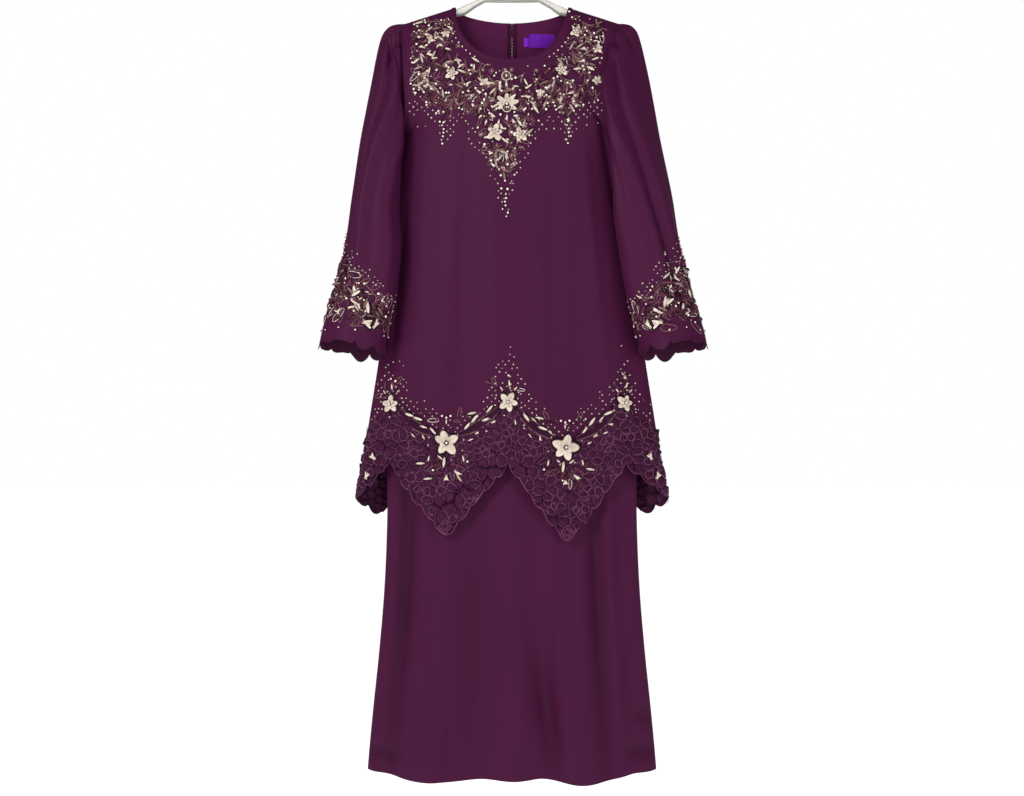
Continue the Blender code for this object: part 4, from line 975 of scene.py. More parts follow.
def motif_blossom(petals=5):
    """A small flower 1 across, with a sunken heart and a knot in it."""
    sides = petals * 3
    rings = ((0.15, 0.20), (0.22, 0.08), (0.40, 0.26), (0.50, 0.05))
    points, rise = [(0, 0, 0.20)], [0.4]
    for reach, lift in rings:
        for j in range(sides):
            turn = 2 * math.pi * j / sides
            lobe = abs(math.sin(petals * turn / 2)) ** 0.6
            far = reach * (1 - (0.30 - 0.30 * lobe) * min(reach / 0.3, 1))
            lifted = lift * (0.45 + 0.55 * lobe if reach > 0.2 else 1)
            points.append((far * math.cos(turn), far * math.sin(turn), lifted))
            # Rise paints the raised rings lighter and the low ones darker: painted light and shade.
            rise.append(1.0 if lift > 0.1 else 0.1)
    index = ring_index(len(rings), sides)
    faces = []
    for j in range(sides):
        strip = index[:, j : j + 2]
        faces += [[0, *strip[0]], *quads(strip)[:, (0, 3, 2, 1)]]
    return mesh_of("blossom", points, [*faces, index[-1, -2::-1]], {"rise": rise}, sharp=75)


def motif_stitch():
    """A short stitch 1 long: a round thread that dips into the cloth at each end."""
    path = [(0, -0.5, 0.0), (0, -0.2, 0.13), (0, 0.2, 0.13), (0, 0.5, 0.0)]
    return mesh_of("stitch", *cord_part(path, [(0, 0, 1)] * len(path), 0.12))


def motif_tooth():
    """A moulded zip tooth 1 wide: a bar with a rounded head."""
    bm = bmesh.new()
    bmesh.ops.create_cube(bm, size=1.0)
    for vert in bm.verts:
        vert.co.x *= 1.0 if vert.co.y < 0 else 0.7
        vert.co.y *= 0.42
        vert.co.z = (vert.co.z + 0.5) * 0.5
    bmesh.ops.bevel(bm, geom=bm.edges[:], offset=0.08, segments=1, affect="EDGES")
    mesh = bpy.data.meshes.new("tooth")
    bm.to_mesh(mesh)
    bm.free()
    return mesh


class Spots(list):
    """Places for a motif: a point in the plan, a heading, a size, a tone and a lift for each."""

    def add(self, x, y, heading, size, tone=0.5, lift=0.0):
        self.append((x, y, heading, size, tone, lift))


def on_ground(ground, spots):
    """A mesh of points with the numbers that the scatter tree reads."""
    x, y, heading, size, tone, lift = np.array(spots, float).T
    points, normals = ground.place(x, y, lift)
    step = 5e-4
    ahead, _ = ground.place(x + step * np.sin(heading), y + step * np.cos(heading), lift)
    mesh = bpy.data.meshes.new("spots")
    mesh.from_pydata(points.tolist(), [], [])
    keep_numbers(mesh, "facing", normals, "FLOAT_VECTOR", "vector")
    keep_numbers(mesh, "heading", unit(ahead - points), "FLOAT_VECTOR", "vector")
    keep_numbers(mesh, "size", size)
    keep_numbers(mesh, "tone", tone)
    return mesh


def scatter_tree():
    """Sets a motif on every point: Z along its facing and Y along its heading."""
    name = "Motif on points"
    if name in bpy.data.node_groups:
        return bpy.data.node_groups[name]
    tree = bpy.data.node_groups.new(name, "GeometryNodeTree")
    inputs = {"Points": "Geometry", "Motif": "Object", "Size": "Float", "Finish": "Material"}
    for label, kind in inputs.items():
        tree.interface.new_socket(label, in_out="INPUT", socket_type=f"NodeSocket{kind}")
    tree.interface.new_socket("Piece", in_out="OUTPUT", socket_type="NodeSocketGeometry")

    def stored(key, kind="FLOAT_VECTOR"):
        made = add_node(tree, "GeometryNodeInputNamedAttribute", {"data_type": kind}, {"Name": key})
        return made.outputs[0]

    given = add_node(tree, "NodeGroupInput").outputs
    axes = {"primary_axis": "Z", "secondary_axis": "Y"}
    turn = add_node(tree, "FunctionNodeAxesToRotation", axes, {0: stored("facing"), 1: stored("heading")})
    sizes = {0: stored("size", "FLOAT"), 1: given["Size"]}
    size = add_node(tree, "ShaderNodeMath", {"operation": "MULTIPLY"}, sizes)
    motif = add_node(tree, "GeometryNodeObjectInfo", None, {"Object": given["Motif"]})
    placed = {"Points": given["Points"], "Instance": motif.outputs["Geometry"]}
    placed |= {"Rotation": turn.outputs[0], "Scale": size.outputs[0]}
    copies = add_node(tree, "GeometryNodeInstanceOnPoints", None, placed)
    real = add_node(tree, "GeometryNodeRealizeInstances", None, {"Geometry": copies.outputs[0]})
    dressing = {"Geometry": real.outputs[0], "Material": given["Finish"]}
    dressed = add_node(tree, "GeometryNodeSetMaterial", None, dressing)
    add_node(tree, "NodeGroupOutput", None, {0: dressed.outputs[0]})
    return tree


def scatter(name, ground, spots, motif, look, size=1.0):
    """One piece: a motif set on the cloth at every spot."""
    seed = bpy.data.objects.new(f"{name} motif", motif)
    base = bpy.data.objects.new(f"{name} spots", on_ground(ground, spots))
    for obj in (seed, base):
        bpy.context.scene.collection.objects.link(obj)
    modifier = base.modifiers.new("Motifs", "NODES")
    modifier.node_group = scatter_tree()
    values = {"Motif": seed, "Size": size, "Finish": finish(look)}
    for item in modifier.node_group.interface.items_tree:
        if item.name in values:
            modifier[item.identifier] = values[item.name]
    graph = bpy.context.evaluated_depsgraph_get()
    mesh = bpy.data.meshes.new_from_object(
        base.evaluated_get(graph), preserve_all_data_layers=True, depsgraph=graph
    )
    for obj in (seed, base):
        bpy.data.objects.remove(obj)
    if not mesh.polygons:
        raise RuntimeError(f"{name} has no motifs")
    mesh.name = name
    return add_piece(name, mesh, look)


# ---- the tunic's panels
NECK_SHARE = NECK_HALF_WIDTH / SHOULDER_HALF_WIDTH
NECK_REACHES = (0.70, 0.80, 0.87, 0.92, 0.95, 0.97, 0.98, 0.985, 0.99, 0.9935, 0.9965, 0.9985, 1.0)
PANEL_COLUMNS = 110
PANEL_ROWS = 110
NECK_SPREAD = 0.6
LACE_LAP = 0.004


def circle(count):
    return np.linspace(0, 2 * math.pi, count, endpoint=False)


def laid(surface, across, down, outward):
    """A surface's points and their normals."""
    across, down = np.broadcast_arrays(across, down)
    return surface(across, down), normals_of(surface, across, down, outward)


def neckline_drop(panel, reach):
    """Drop of the neckline at a share of the neck's half width, and 0 beyond it."""
    power = NECK_POWER[panel]
    inside = np.clip(reach, 0, 1)
    curve = (1 - inside**power) ** (1 / power)
    return NECK_DEPTH[panel] * np.minimum(curve, NECK_END_SLOPE * (1 - inside))


def hem_rows(panel, share):
    """(seam height, edge height, scallop count) of the hem lace at a share of the width."""
    places, seam, edge, scallops = np.array(HEM[panel], float).T
    counts = travel(scallops[:-1])
    return [np.interp(share, places, column) for column in (seam, edge, counts)]


def panel_turns(low, high):
    """The turns of a panel's columns, closer together at the ends of the neck."""
    reaches = [side * reach * NECK_SHARE for reach in NECK_REACHES for side in (-1, 1)]
    even = share_of(np.linspace(-1, 1, PANEL_COLUMNS + 1))
    shares = np.unique(np.round(np.concatenate([even, reaches]), 5))
    shares = shares[np.concatenate([[1], np.diff(shares)]) > 2e-4]
    return turn_of(shares[(shares >= low) & (shares <= high)])


def cloth_panel(name, panel, low, high, shift):
    turns = panel_turns(low, high)
    down = np.linspace(0, 1, PANEL_ROWS)[:, None]
    share = share_of(turns)
    top = level_of(neckline_drop(panel, np.abs(share) / NECK_SHARE))
    bottom = level_at(share, hem_rows(panel, share)[0])
    level = bottom * down + top * np.clip(1 - down / NECK_SPREAD, 0, 1) ** 1.5
    points, normals = laid(partial(tunic, panel), turns, level, panel)
    points[..., 0] += shift
    plan = (points[..., 0], points[..., 2])
    # Painted shade in the panel's creases.
    shown = hollow(share, plan[1], TUNIC_CREASES[panel])
    return shell(name, points, normals, "crepe", plan, attributes=shown)


def make_tunic():
    front = cloth_panel("tunic_front_cloth", FRONT, -1, 1, 0)
    left = cloth_panel("tunic_back_left_cloth", BACK, -1, 0, -HALF_GAP)
    right = cloth_panel("tunic_back_right_cloth", BACK, 0, 1, HALF_GAP)
    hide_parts("tunic_front")
    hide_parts("tunic_back_left")
    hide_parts("tunic_back_right")


# ---- the sleeves and the cuffs
SLEEVE_COLUMNS = 88
SLEEVE_RINGS = 110
CUFF_RINGS = 14
CUFF_ROLL = 0.0009


def make_sleeves():
    for side, word in SIDES:
        turns = circle(SLEEVE_COLUMNS)
        rings = np.linspace(0, CUFF_SEAM + 0.06, SLEEVE_RINGS)[:, None]
        points, normals = laid(partial(sleeve, side), turns, rings, side)
        plan = (turns * CUFF_RADIUS, -rings * RING_SPACING)
        made = shell(f"sleeve_{word}_cloth", points, normals, "crepe", plan, closed=True)
        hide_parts(f"sleeve_{word}")
        make_cuff(side, word)


def make_cuff(side, word):
    """The plain scalloped band below the sleeve's embroidery, with a rolled edge."""
    angle = circle(CUFF_SCALLOPS * 20)
    uneven = 0.75 + 0.45 * np.sin(angle * 3 + 1) + 0.25 * np.sin(angle * 7)
    bulge = np.abs(np.sin(angle * CUFF_SCALLOPS / 2)) ** 0.7 * uneven
    length = CUFF_END - CUFF_SEAM + CUFF_SCALLOP_DEPTH / RING_LENGTH_AT_CUFF * bulge
    down = np.linspace(0, 1, CUFF_RINGS)[:, None]
    ring = CUFF_SEAM + length * down
    points, normals = laid(partial(sleeve, side), angle, ring, side)
    points = points + normals * (0.0002 + CUFF_ROLL * bell(down, 1, 0.14))[..., None]
    plan = (angle * CUFF_RADIUS, -ring * RING_SPACING)
    made = shell(f"cuff_{word}_band", points, normals, "crepe", plan, closed=True)
    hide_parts(f"cuff_{word}")


# ---- the skirt, its waistband and its hanging ribbons
SKIRT_COLUMNS = 104
SKIRT_ROWS = 100
WAIST_BAND = (-0.515, -0.545)
WAIST_HALF = (0.1735, 0.0330)
WAIST_CLOTH = 0.0012
WAIST_ROWS = 12
HEM_STITCH_HEIGHT = 0.014


def make_skirt():
    for panel, word in ((FRONT, "front"), (BACK, "back")):
        turn = np.linspace(-1, 1, SKIRT_COLUMNS + 1)
        share, down = share_of(turn), np.linspace(0, 1, SKIRT_ROWS)[:, None]
        fold = fold_height(SKIRT_FOLDS[panel], share, SKIRT_HEM)
        hem = SKIRT_HEM + SKIRT_SIDE_RISE * np.abs(share) ** 6 - SKIRT_FOLD_DROP * fold
        depth = -SKIRT_TOP - (hem - SKIRT_TOP) * down
        points, normals = laid(partial(skirt, panel), turn, depth, panel)
        points = points - normals * (0.0005 * bell(depth + hem, -HEM_STITCH_HEIGHT, 0.0016))[..., None]
        # Painted shade in the skirt's creases.
        shown = hollow(share, -depth, SKIRT_CREASES[panel])
        plan = (points[..., 0], points[..., 2])
        made = shell(f"skirt_{word}_cloth", points, normals, "crepe", plan, attributes=shown)
        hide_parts(f"skirt_{word}")
    make_waistband()


def make_waistband():
    """The band at the skirt's top, with a row of soft tucks from its drawn elastic."""
    angle, height = circle(180), np.linspace(*WAIST_BAND, WAIST_ROWS)[:, None]
    tucks = 0.0005 * np.sin(angle * 45) + 0.0003 * np.sin(angle * 28 + 1.0)
    half_x, half_y = WAIST_HALF[0] - 0.0008 + tucks, WAIST_HALF[1] - 0.0008 + tucks
    points = stack(half_x * np.sin(angle), -half_y * np.cos(angle), height)
    out = unit(stack(np.sin(angle) / WAIST_HALF[0], -np.cos(angle) / WAIST_HALF[1], 0 * height))
    plan = (angle * 0.11, height)
    made = shell("waistband_cloth", points, out, "crepe", plan, WAIST_CLOTH, closed=True)
    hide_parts("waistband")


RIBBON_WIDTH = 0.006
RIBBON_THICKNESS = 0.0008
RIBBON_X = 0.120
RIBBON_CLEAR = 0.0010
ARM_HALF_DEPTH = 0.0080
NOTCH_FLOOR = -0.1212
NOTCH_BOTTOM = -0.1310


def make_ribbons():
    """A flat ribbon over each arm of the hanger, down to the waistband."""
    middle = (NOTCH_FLOOR + NOTCH_BOTTOM) / 2
    reach, rise = ARM_HALF_DEPTH + RIBBON_CLEAR, NOTCH_FLOOR - middle + RIBBON_CLEAR
    turn = np.linspace(0, math.pi, 24)
    arch = np.stack([-reach * np.cos(turn), middle + rise * np.sin(turn)], -1)
    waist = WAIST_HALF[1] * math.sqrt(1 - (RIBBON_X / WAIST_HALF[0]) ** 2) - 0.0035
    fall = np.linspace(WAIST_BAND[1] + 0.002, middle, 40, endpoint=False)
    share = np.clip((fall - WAIST_BAND[0]) / (middle - WAIST_BAND[0]), 0, 1)
    line = -(waist + (reach - waist) * share)
    path = np.concatenate([np.stack([line, fall], -1), arch, np.stack([-line, fall], -1)[::-1]])
    along = np.gradient(path, axis=0)
    far = np.cumsum(np.linalg.norm(along, axis=1))[:, None]
    along = unit(along)
    out = np.stack([0 * along[:, 0], -along[:, 1], along[:, 0]], -1)
    across = np.linspace(-0.5, 0.5, 5) * RIBBON_WIDTH
    for side, word in SIDES:
        points = stack(side * RIBBON_X + across, path[:, :1], path[:, 1:])
        normals = np.broadcast_to(out[:, None, :], points.shape)
        points = points + normals * RIBBON_THICKNESS / 2
        name = f"hanging_ribbon_{word}"
        made = shell(f"{name}_satin", points, normals, "tape", (across, far), RIBBON_THICKNESS)
        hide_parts(name)


# ---- the hem lace: cupped petals round small roses, each outlined in cord
LACE_ROWS = 64
LACE_COLUMNS_PER_SCALLOP = 9
LACE_LIFT = 0.0008
LACE_HOLLOW = 0.0006
LACE_SEED = 7
LACE_LOW = -1.08
LACE_HIGH = -0.78
LACE_HALF_WIDTH = 0.34
PETALS_PER_ROSE = (4, 8)
ARC_SHARE = 0.50
VEIN_SHARE = 0.38
TIP_DIAMOND = 0.0125
EDGE_MARGIN = 0.0016
OUTLINE_POINTS = 13


def lace_seeds(panel):
    """Places of the lace's petals: (x, height, cup, rose's x, rose's height)."""
    random = np.random.default_rng(LACE_SEED + panel)
    rose, petal = settings().lace.rose, settings().lace.petal
    spots = []
    for row, height in enumerate(np.arange(LACE_LOW, LACE_HIGH, rose * 0.87)):
        for x in np.arange(-LACE_HALF_WIDTH, LACE_HALF_WIDTH, rose) + rose / 2 * (row % 2):
            hx, hz = np.array([x, height]) + random.normal(0, rose * 0.13, 2)
            spots.append((hx, hz, 0.35, hx, hz))
            count = random.integers(*PETALS_PER_ROSE)
            turn = random.uniform(0, math.pi)
            for i in range(count):
                angle = turn + 2 * math.pi * i / count + random.normal(0, 0.20)
                reach = petal * random.uniform(0.78, 1.25)
                place = (hx + reach * math.cos(angle), hz + reach * math.sin(angle))
                spots.append((*place, random.uniform(0.6, 1.2), hx, hz))
    return np.array(spots)


def nearest_two(seeds, x, height):
    """The numbers of the nearest two seeds, and the distance to the line between them."""
    first, margin = np.empty(x.shape, int), np.empty(x.shape)
    for i in range(len(x)):
        apart = (x[i][:, None] - seeds[:, 0]) ** 2 + (height[i][:, None] - seeds[:, 1]) ** 2
        order = np.argpartition(apart, 1, axis=1)[:, :2]
        near, far = np.take_along_axis(apart, order, axis=1).T
        gap = seeds[order[:, 0], :2] - seeds[order[:, 1], :2]
        first[i] = order[:, 0]
        margin[i] = (far - near) / (2 * np.maximum(np.hypot(*gap.T), 1e-6))
    return first, margin


def lace_limits(panel, share):
    """Heights of the lace's seam, with its lap, and of its scalloped edge.

    No two petals on the edge reach down alike, and each is a little pointed.
    """
    seam, edge, scallops = hem_rows(panel, share)
    part = scallops % 1
    lean = 0.5 + 0.12 * np.sin(2.3 * np.floor(scallops) + 1)
    arch = np.where(part < lean, part / lean, (1 - part) / (1 - lean))
    uneven = 0.85 + 0.30 * np.sin(1.7 * np.floor(scallops))
    return seam + LACE_LAP, edge - SCALLOP_DEPTH * uneven * np.sin(arch * math.pi / 2) ** 0.8


def lace_grid(panel, low, high):
    """(share, height) of the lace's points, from a little over its seam to its scallops."""
    shares = [[low]]
    for row, following in zip(HEM[panel], HEM[panel][1:]):
        if row.share < high and following.share > low:
            count = row.scallops * LACE_COLUMNS_PER_SCALLOP
            shares.append(np.linspace(row.share, following.share, count + 1)[1:])
    share = np.unique(np.concatenate(shares))
    share = share[(share >= low) & (share <= high)]
    seam, edge = lace_limits(panel, share)
    height = seam + (edge - seam) * np.linspace(0, 1, LACE_ROWS)[:, None]
    return np.broadcast_to(share, height.shape), height


def x_of(panel, share, height):
    return share * half_width(panel, share, shoulder_height(share) - height)


def lace_panel(name, panel, low, high, shift):
    share, height = lace_grid(panel, low, high)
    x = x_of(panel, share, height)
    seeds = lace_seeds(panel)
    mine, margin = nearest_two(seeds, x, height)
    cup, rose = seeds[mine, 2], seeds[mine, 3:]
    away = np.stack([x, height], -1) - seeds[mine, :2]
    spoke = seeds[mine, :2] - rose
    length = np.maximum(np.linalg.norm(spoke, axis=-1), 1e-6)
    outward = (away * spoke).sum(-1) / length
    around = (away[..., 1] * spoke[..., 0] - away[..., 0] * spoke[..., 1]) / length
    rise = ease(margin, 0.0006, 0.0032)
    tilt = np.clip(0.75 + outward * 70, 0.2, 1.5)
    rim = ease(height, height[-1:], height[-1:] + 0.006)
    groove = ease(margin, 0.0016, 0.0002) * LACE_HOLLOW
    relief = (settings().lace.cup * cup * rise * tilt - groove) * (0.25 + 0.75 * rim)
    points, normals = laid(partial(tunic, panel), turn_of(share), level_at(share, height), panel)
    points = points + normals * (LACE_LIFT + relief)[..., None]
    points[..., 0] += shift
    # Rise paints the petals lighter the further they stand out, and leaves painted shade between them.
    shown = {"rise": rise * np.clip(0.10 + 0.72 * tilt, 0, 1), "stitch": around}
    return shell(name, points, normals, "lace", (x, height), attributes=shown)


def clipped(polygon, middle, other):
    """A convex polygon cut to the side of a line that is nearer middle than other."""
    side = (polygon - (other + middle) / 2) @ (other - middle)
    kept = []
    for i in range(len(polygon)):
        k = (i + 1) % len(polygon)
        if side[i] <= 0:
            kept.append(polygon[i])
        if (side[i] < 0) != (side[k] < 0):
            kept.append(polygon[i] + (polygon[k] - polygon[i]) * side[i] / (side[i] - side[k]))
    return np.array(kept)


def rounded(loop, count):
    """A closed line with its corners cut off, at even steps."""
    for _ in range(3):
        following = np.roll(loop, -1, 0)
        loop = np.stack([loop * 0.78 + following * 0.22, loop * 0.22 + following * 0.78], 1)
        loop = loop.reshape(-1, 2)
    ring = np.concatenate([loop, loop[:1]])
    along = travel(np.linalg.norm(np.diff(ring, axis=0), axis=1))
    steps = np.linspace(0, along[-1], count, endpoint=False)
    return np.stack([np.interp(steps, along, ring[:, i]) for i in (0, 1)], -1)


def on_lace(panel, loop, low, high):
    """The line's points, moved to lie inside the lace."""
    x, height = loop.T
    drop = SHOULDER_TOP - height.mean()
    seam, edge = lace_limits(panel, np.clip(x / half_width(panel, 0.0, drop), low, high))
    limit = half_width(panel, 1.0, drop) - 0.002
    left = EDGE_MARGIN if low == 0 else -limit
    right = -EDGE_MARGIN if high == 0 else limit
    return np.stack([np.clip(x, left, right), np.clip(height, edge + EDGE_MARGIN, seam - 0.001)], -1)


def petal_lines(panel, low, high):
    """Each petal's cord, and for some an inner arc and a few veins from the rose's heart."""
    random = np.random.default_rng(LACE_SEED * 3 + panel)
    seeds = lace_seeds(panel)
    radius = settings().lace.cord / 2
    lines = []

    def lay(places, thickness, closed=False):
        lines.append(Line(on_lace(panel, places, low, high), radius * thickness, lift, closed))

    for middle, cup, rose in zip(seeds[:, :2], seeds[:, 2], seeds[:, 3:]):
        share = middle[0] / half_width(panel, 0.0, SHOULDER_TOP - middle[1])
        seam, edge, _ = hem_rows(panel, share)
        if not (low <= share <= high and edge < middle[1] < seam + 0.001):
            continue
        cell = middle + 0.025 * np.array([(-1, -1), (1, -1), (1, 1), (-1, 1)])
        for near in np.argsort(np.hypot(*(seeds[:, :2] - middle).T))[1:16]:
            cell = clipped(cell, middle, seeds[near, :2])
        loop = rounded(middle + (cell - middle) * random.uniform(0.84, 1.00), OUTLINE_POINTS)
        lift = LACE_LIFT + settings().lace.cup * cup * 0.35
        lay(loop, random.uniform(0.6, 1.2), closed=True)
        spoke = middle - rose
        reach = np.linalg.norm(spoke)
        if reach < 1e-4:
            continue
        outer = ((loop - middle) @ spoke / reach) > -0.001
        if random.uniform() < ARC_SHARE and outer.sum() > 5:
            start = int(np.argmax(outer & ~np.roll(outer, 1)))
            arc = np.roll(loop, -start, 0)[: outer.sum()]
            lay(rose + (arc - rose) * random.uniform(0.66, 0.78), 0.8)
        if random.uniform() < VEIN_SHARE:
            across = np.array([-spoke[1], spoke[0]]) / reach
            for i in (-1, 0, 1):
                end = middle + across * 0.0028 * i
                lay(rose + (end - rose) * np.linspace(0.35, 1.05, 6)[:, None], 0.6)
    return lines


def tip_diamonds(panel, low, high):
    """The small double diamond at each point of the zigzag."""
    lines = []
    for before, row, after in zip(HEM[panel], HEM[panel][1:], HEM[panel][2:]):
        if not low < row.share < high or row.edge > min(before.edge, after.edge):
            continue
        middle = (float(x_of(panel, row.share, row.edge)), row.edge + TIP_DIAMOND + 0.0025)
        for size in (1.0, 0.55):
            half = TIP_DIAMOND * size
            loop = np.array([(0, -half), (half * 0.9, 0), (0, half), (-half * 0.9, 0)]) + middle
            dense = np.concatenate([np.linspace(loop[i - 1], loop[i], 6)[:-1] for i in range(4)])
            lines.append(Line(dense, settings().lace.cord * 0.6, LACE_LIFT + 0.002, True))
    return lines


def edge_line(panel, low, high):
    """The cord round the scallops."""
    share, height = (grid[-1] for grid in lace_grid(panel, low, high))
    height = height + 0.0006
    plan = np.stack([x_of(panel, np.clip(share, -0.999, 0.999), height), height], -1)
    return Line(plan, settings().lace.cord * 0.55, LACE_LIFT, False)


def make_lace():
    for name, panel, low, high, shift in (
        ("front", FRONT, -1, 1, 0),
        ("back_left", BACK, -1, 0, -HALF_GAP),
        ("back_right", BACK, 0, 1, HALF_GAP),
    ):
        made = lace_panel(f"hem_lace_{name}_net", panel, low, high, shift)
        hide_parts(f"hem_lace_{name}")
        lines = petal_lines(panel, low, high) + tip_diamonds(panel, low, high)
        lines.append(edge_line(panel, low, high))
        cords(f"hem_lace_{name}_cord", PanelGround(panel), lines, "lace cord")


# ---- the neck's edge, the zip and the labels
BINDING_WIDTH = 0.0075
BINDING_LIFT = 0.0004
BINDING_CROWN = 0.0011
BINDING_STEP = 0.34 * NECK_HALF_WIDTH * math.pi / 70
STITCH_LENGTH = 0.0026
STITCH_PITCH = 0.0034


def neck_plan(panel, reach, width):
    """(x, height) this far out from the neckline, square to it."""
    size, side = np.abs(reach), np.sign(reach)
    near, far = np.maximum(size - 0.002, 0), np.minimum(size + 0.002, 1)
    fall = neckline_drop(panel, near) - neckline_drop(panel, far)
    run = np.hypot(fall, (far - near) * NECK_HALF_WIDTH)
    x = size * NECK_HALF_WIDTH + width * fall / run
    drop = neckline_drop(panel, size) + width * (far - near) * NECK_HALF_WIDTH / run
    return side * x, shoulder_height(x / SHOULDER_HALF_WIDTH) - drop


def even_reaches(panel, low, high, width, step):
    """Shares of the neck's half width that are evenly spaced along its edge."""
    reach = np.linspace(low, high, 900)
    reach = np.unique(np.clip(np.sign(reach) * np.abs(reach) ** 0.5, low, high))
    x, height = neck_plan(panel, reach, width)
    travelled = travel(np.hypot(np.diff(x), np.diff(height)))
    return np.interp(np.arange(step / 2, travelled[-1], step), travelled, reach)


def neck_edge(name, panel, low, high):
    """A narrow rolled binding on the neck's edge."""
    reach = np.concatenate([[low], even_reaches(panel, low, high, 0.0, BINDING_STEP), [high]])
    plan = neck_plan(panel, reach, np.linspace(-0.0006, BINDING_WIDTH, 7)[:, None])
    lift = BINDING_LIFT + BINDING_CROWN * (1 - np.abs(np.linspace(-1, 1, 7)) ** 2.5)
    points, normals = PanelGround(panel).place(*plan, lift[:, None])
    made = shell(f"{name}_roll", points, normals, "crepe", plan, 0.0010)
    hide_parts(name)


def stitch_row(name, ground, lines, look="plum thread"):
    """Short stitches along lines of the plan, as one piece."""
    spots = Spots()
    for line in lines:
        travelled = travel(np.hypot(*np.diff(line, axis=0).T))
        for along in np.arange(STITCH_PITCH / 2, travelled[-1], STITCH_PITCH):
            x, ahead_x = np.interp([along, along + 1e-3], travelled, line[:, 0])
            y, ahead_y = np.interp([along, along + 1e-3], travelled, line[:, 1])
            spots.add(x, y, math.atan2(ahead_x - x, ahead_y - y), STITCH_LENGTH)
    scatter(name, ground, spots, motif_stitch(), look)


def neck_stitches(word, panel, *spans):
    """The row of stitches beside the neck's binding."""
    width = BINDING_WIDTH + 0.0008
    reaches = [even_reaches(panel, *span, width, 0.003) for span in spans]
    lines = [np.stack(neck_plan(panel, reach, width), -1) for reach in reaches]
    stitch_row(f"neck_stitches_{word}", PanelGround(panel), lines)


def make_neck():
    neck_edge("neck_binding_front", FRONT, -1, 1)
    neck_edge("neck_binding_back_left", BACK, -1, -0.012)
    neck_edge("neck_binding_back_right", BACK, 0.012, 1)
    neck_stitches("front", FRONT, (-0.985, 0.985))
    neck_stitches("back", BACK, (-0.985, -0.03), (0.03, 0.985))


ZIP_BOTTOM = -0.610
TAPE_NEAR = 0.00003
TAPE_FAR = 0.0086
TAPE_LIFT = -0.0013
TAPE_THICKNESS = 0.0007
TEETH_TOP = -0.158
TOOTH_PITCH = 0.0030
TOOTH_WIDTH = 0.0022
TOOTH_OFFSET = 0.0004
ZIP_STITCH_AT = 0.0066


class InsideGround(PanelGround):
    """The inner face of the back, for what is sewn there and seen through the neck."""

    def __init__(self, depth):
        super().__init__(BACK)
        self.depth = depth

    def place(self, across, up, lift=0.0):
        points, normals = super().place(across, up, -self.depth - np.asarray(lift, float))
        return points, -normals


def make_zip():
    """The tapes inside the back, their teeth down the middle and their stitches."""
    ground = PanelGround(BACK)
    top = SHOULDER_TOP - NECK_DEPTH[BACK] - 0.001
    for side, word in SIDES:
        name = f"zip_tape_{word}"
        x = side * np.linspace(TAPE_NEAR, TAPE_FAR, 5)
        x, height = np.broadcast_arrays(x, np.linspace(top, ZIP_BOTTOM, 90)[:, None])
        ridge = 0.0004 * bell(np.abs(x) - TAPE_FAR, -0.0008, 0.0005)
        points, normals = ground.place(x, height, TAPE_LIFT - ridge)
        made = shell(f"{name}_woven", points, normals, "tape", (x, height), TAPE_THICKNESS)
        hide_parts(name)
    teeth = Spots()
    for i in range(int((TEETH_TOP - ZIP_BOTTOM) / TOOTH_PITCH)):
        side = 1 if i % 2 else -1
        teeth.add(side * TOOTH_OFFSET, TEETH_TOP - TOOTH_PITCH * i, 0.0 if side > 0 else math.pi, 1.0)
    inside = InsideGround(-TAPE_LIFT + TAPE_THICKNESS)
    scatter("zip_teeth", inside, teeth, motif_tooth(), "steel", size=TOOTH_WIDTH)
    lines = [np.array([(side * ZIP_STITCH_AT, end) for end in (top - 0.003, ZIP_BOTTOM)]) for side in (-1, 1)]
    stitch_row("zip_stitches_inside", inside, lines, "dark satin")
    stitch_row("zip_stitches_outside", ground, lines)


LABEL_LIFT = 0.0008
LABEL_THICKNESS = 0.0005
Label = namedtuple("Label", "name left right top bottom look")
LABELS = (
    Label("neck_label", 0.0305, 0.0770, -0.1514, -0.1748, "label"),
    Label("size_tab", 0.0212, 0.0300, -0.1580, -0.1730, "pale label"),
)


def make_labels():
    """Bare satin labels, sewn down at their ends inside the back of the neck."""
    thickness = settings().cloth.thickness
    lines = []
    for row in LABELS:
        across = np.linspace(row.left, row.right, 28)
        x, height = plan = np.broadcast_arrays(across, np.linspace(row.top, row.bottom, 14)[:, None])
        inward = np.minimum(x - row.left, row.right - x) / (row.right - row.left)
        belly = 0.0011 * np.sin(math.pi * np.clip(inward * 2, 0, 1) / 2) ** 2
        ripple = 0.00025 * np.sin(x * 520) * (height - row.bottom) / (row.top - row.bottom)
        points, normals = InsideGround(thickness).place(x, height, LABEL_LIFT + belly + ripple)
        made = shell(f"{row.name}_satin", points, normals, row.look, plan, LABEL_THICKNESS)
        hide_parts(row.name)
        for x_at in (row.left + 0.0012, row.right - 0.0012):
            lines.append(np.array([(x_at, row.top - 0.0006), (x_at, row.bottom + 0.0006)]))
    stitched = InsideGround(thickness + LABEL_LIFT + 0.0002)
    stitch_row("label_stitches", stitched, lines, "violet thread")


# ---- embroidery: sprays of stems and leaves, flowers, pearls and beads on one ground
THREADS = ("cream", "rose", "plum")
STEM_POINTS = 9
LEAF_STEP = 0.0102
OUTLINE_SHARE = 0.27
CREAM_OUTLINES = 0.12
PETAL_LIFT = 0.0004
EDGE_SCALE = 1.18
EDGE_BACK = 0.09
HEART_SHARE = 0.50
INNER_SHARE = 0.56
INNER_LIFT = 0.0020
WING_SPREAD = 0.55
ROSETTE_LIFT = 0.0035
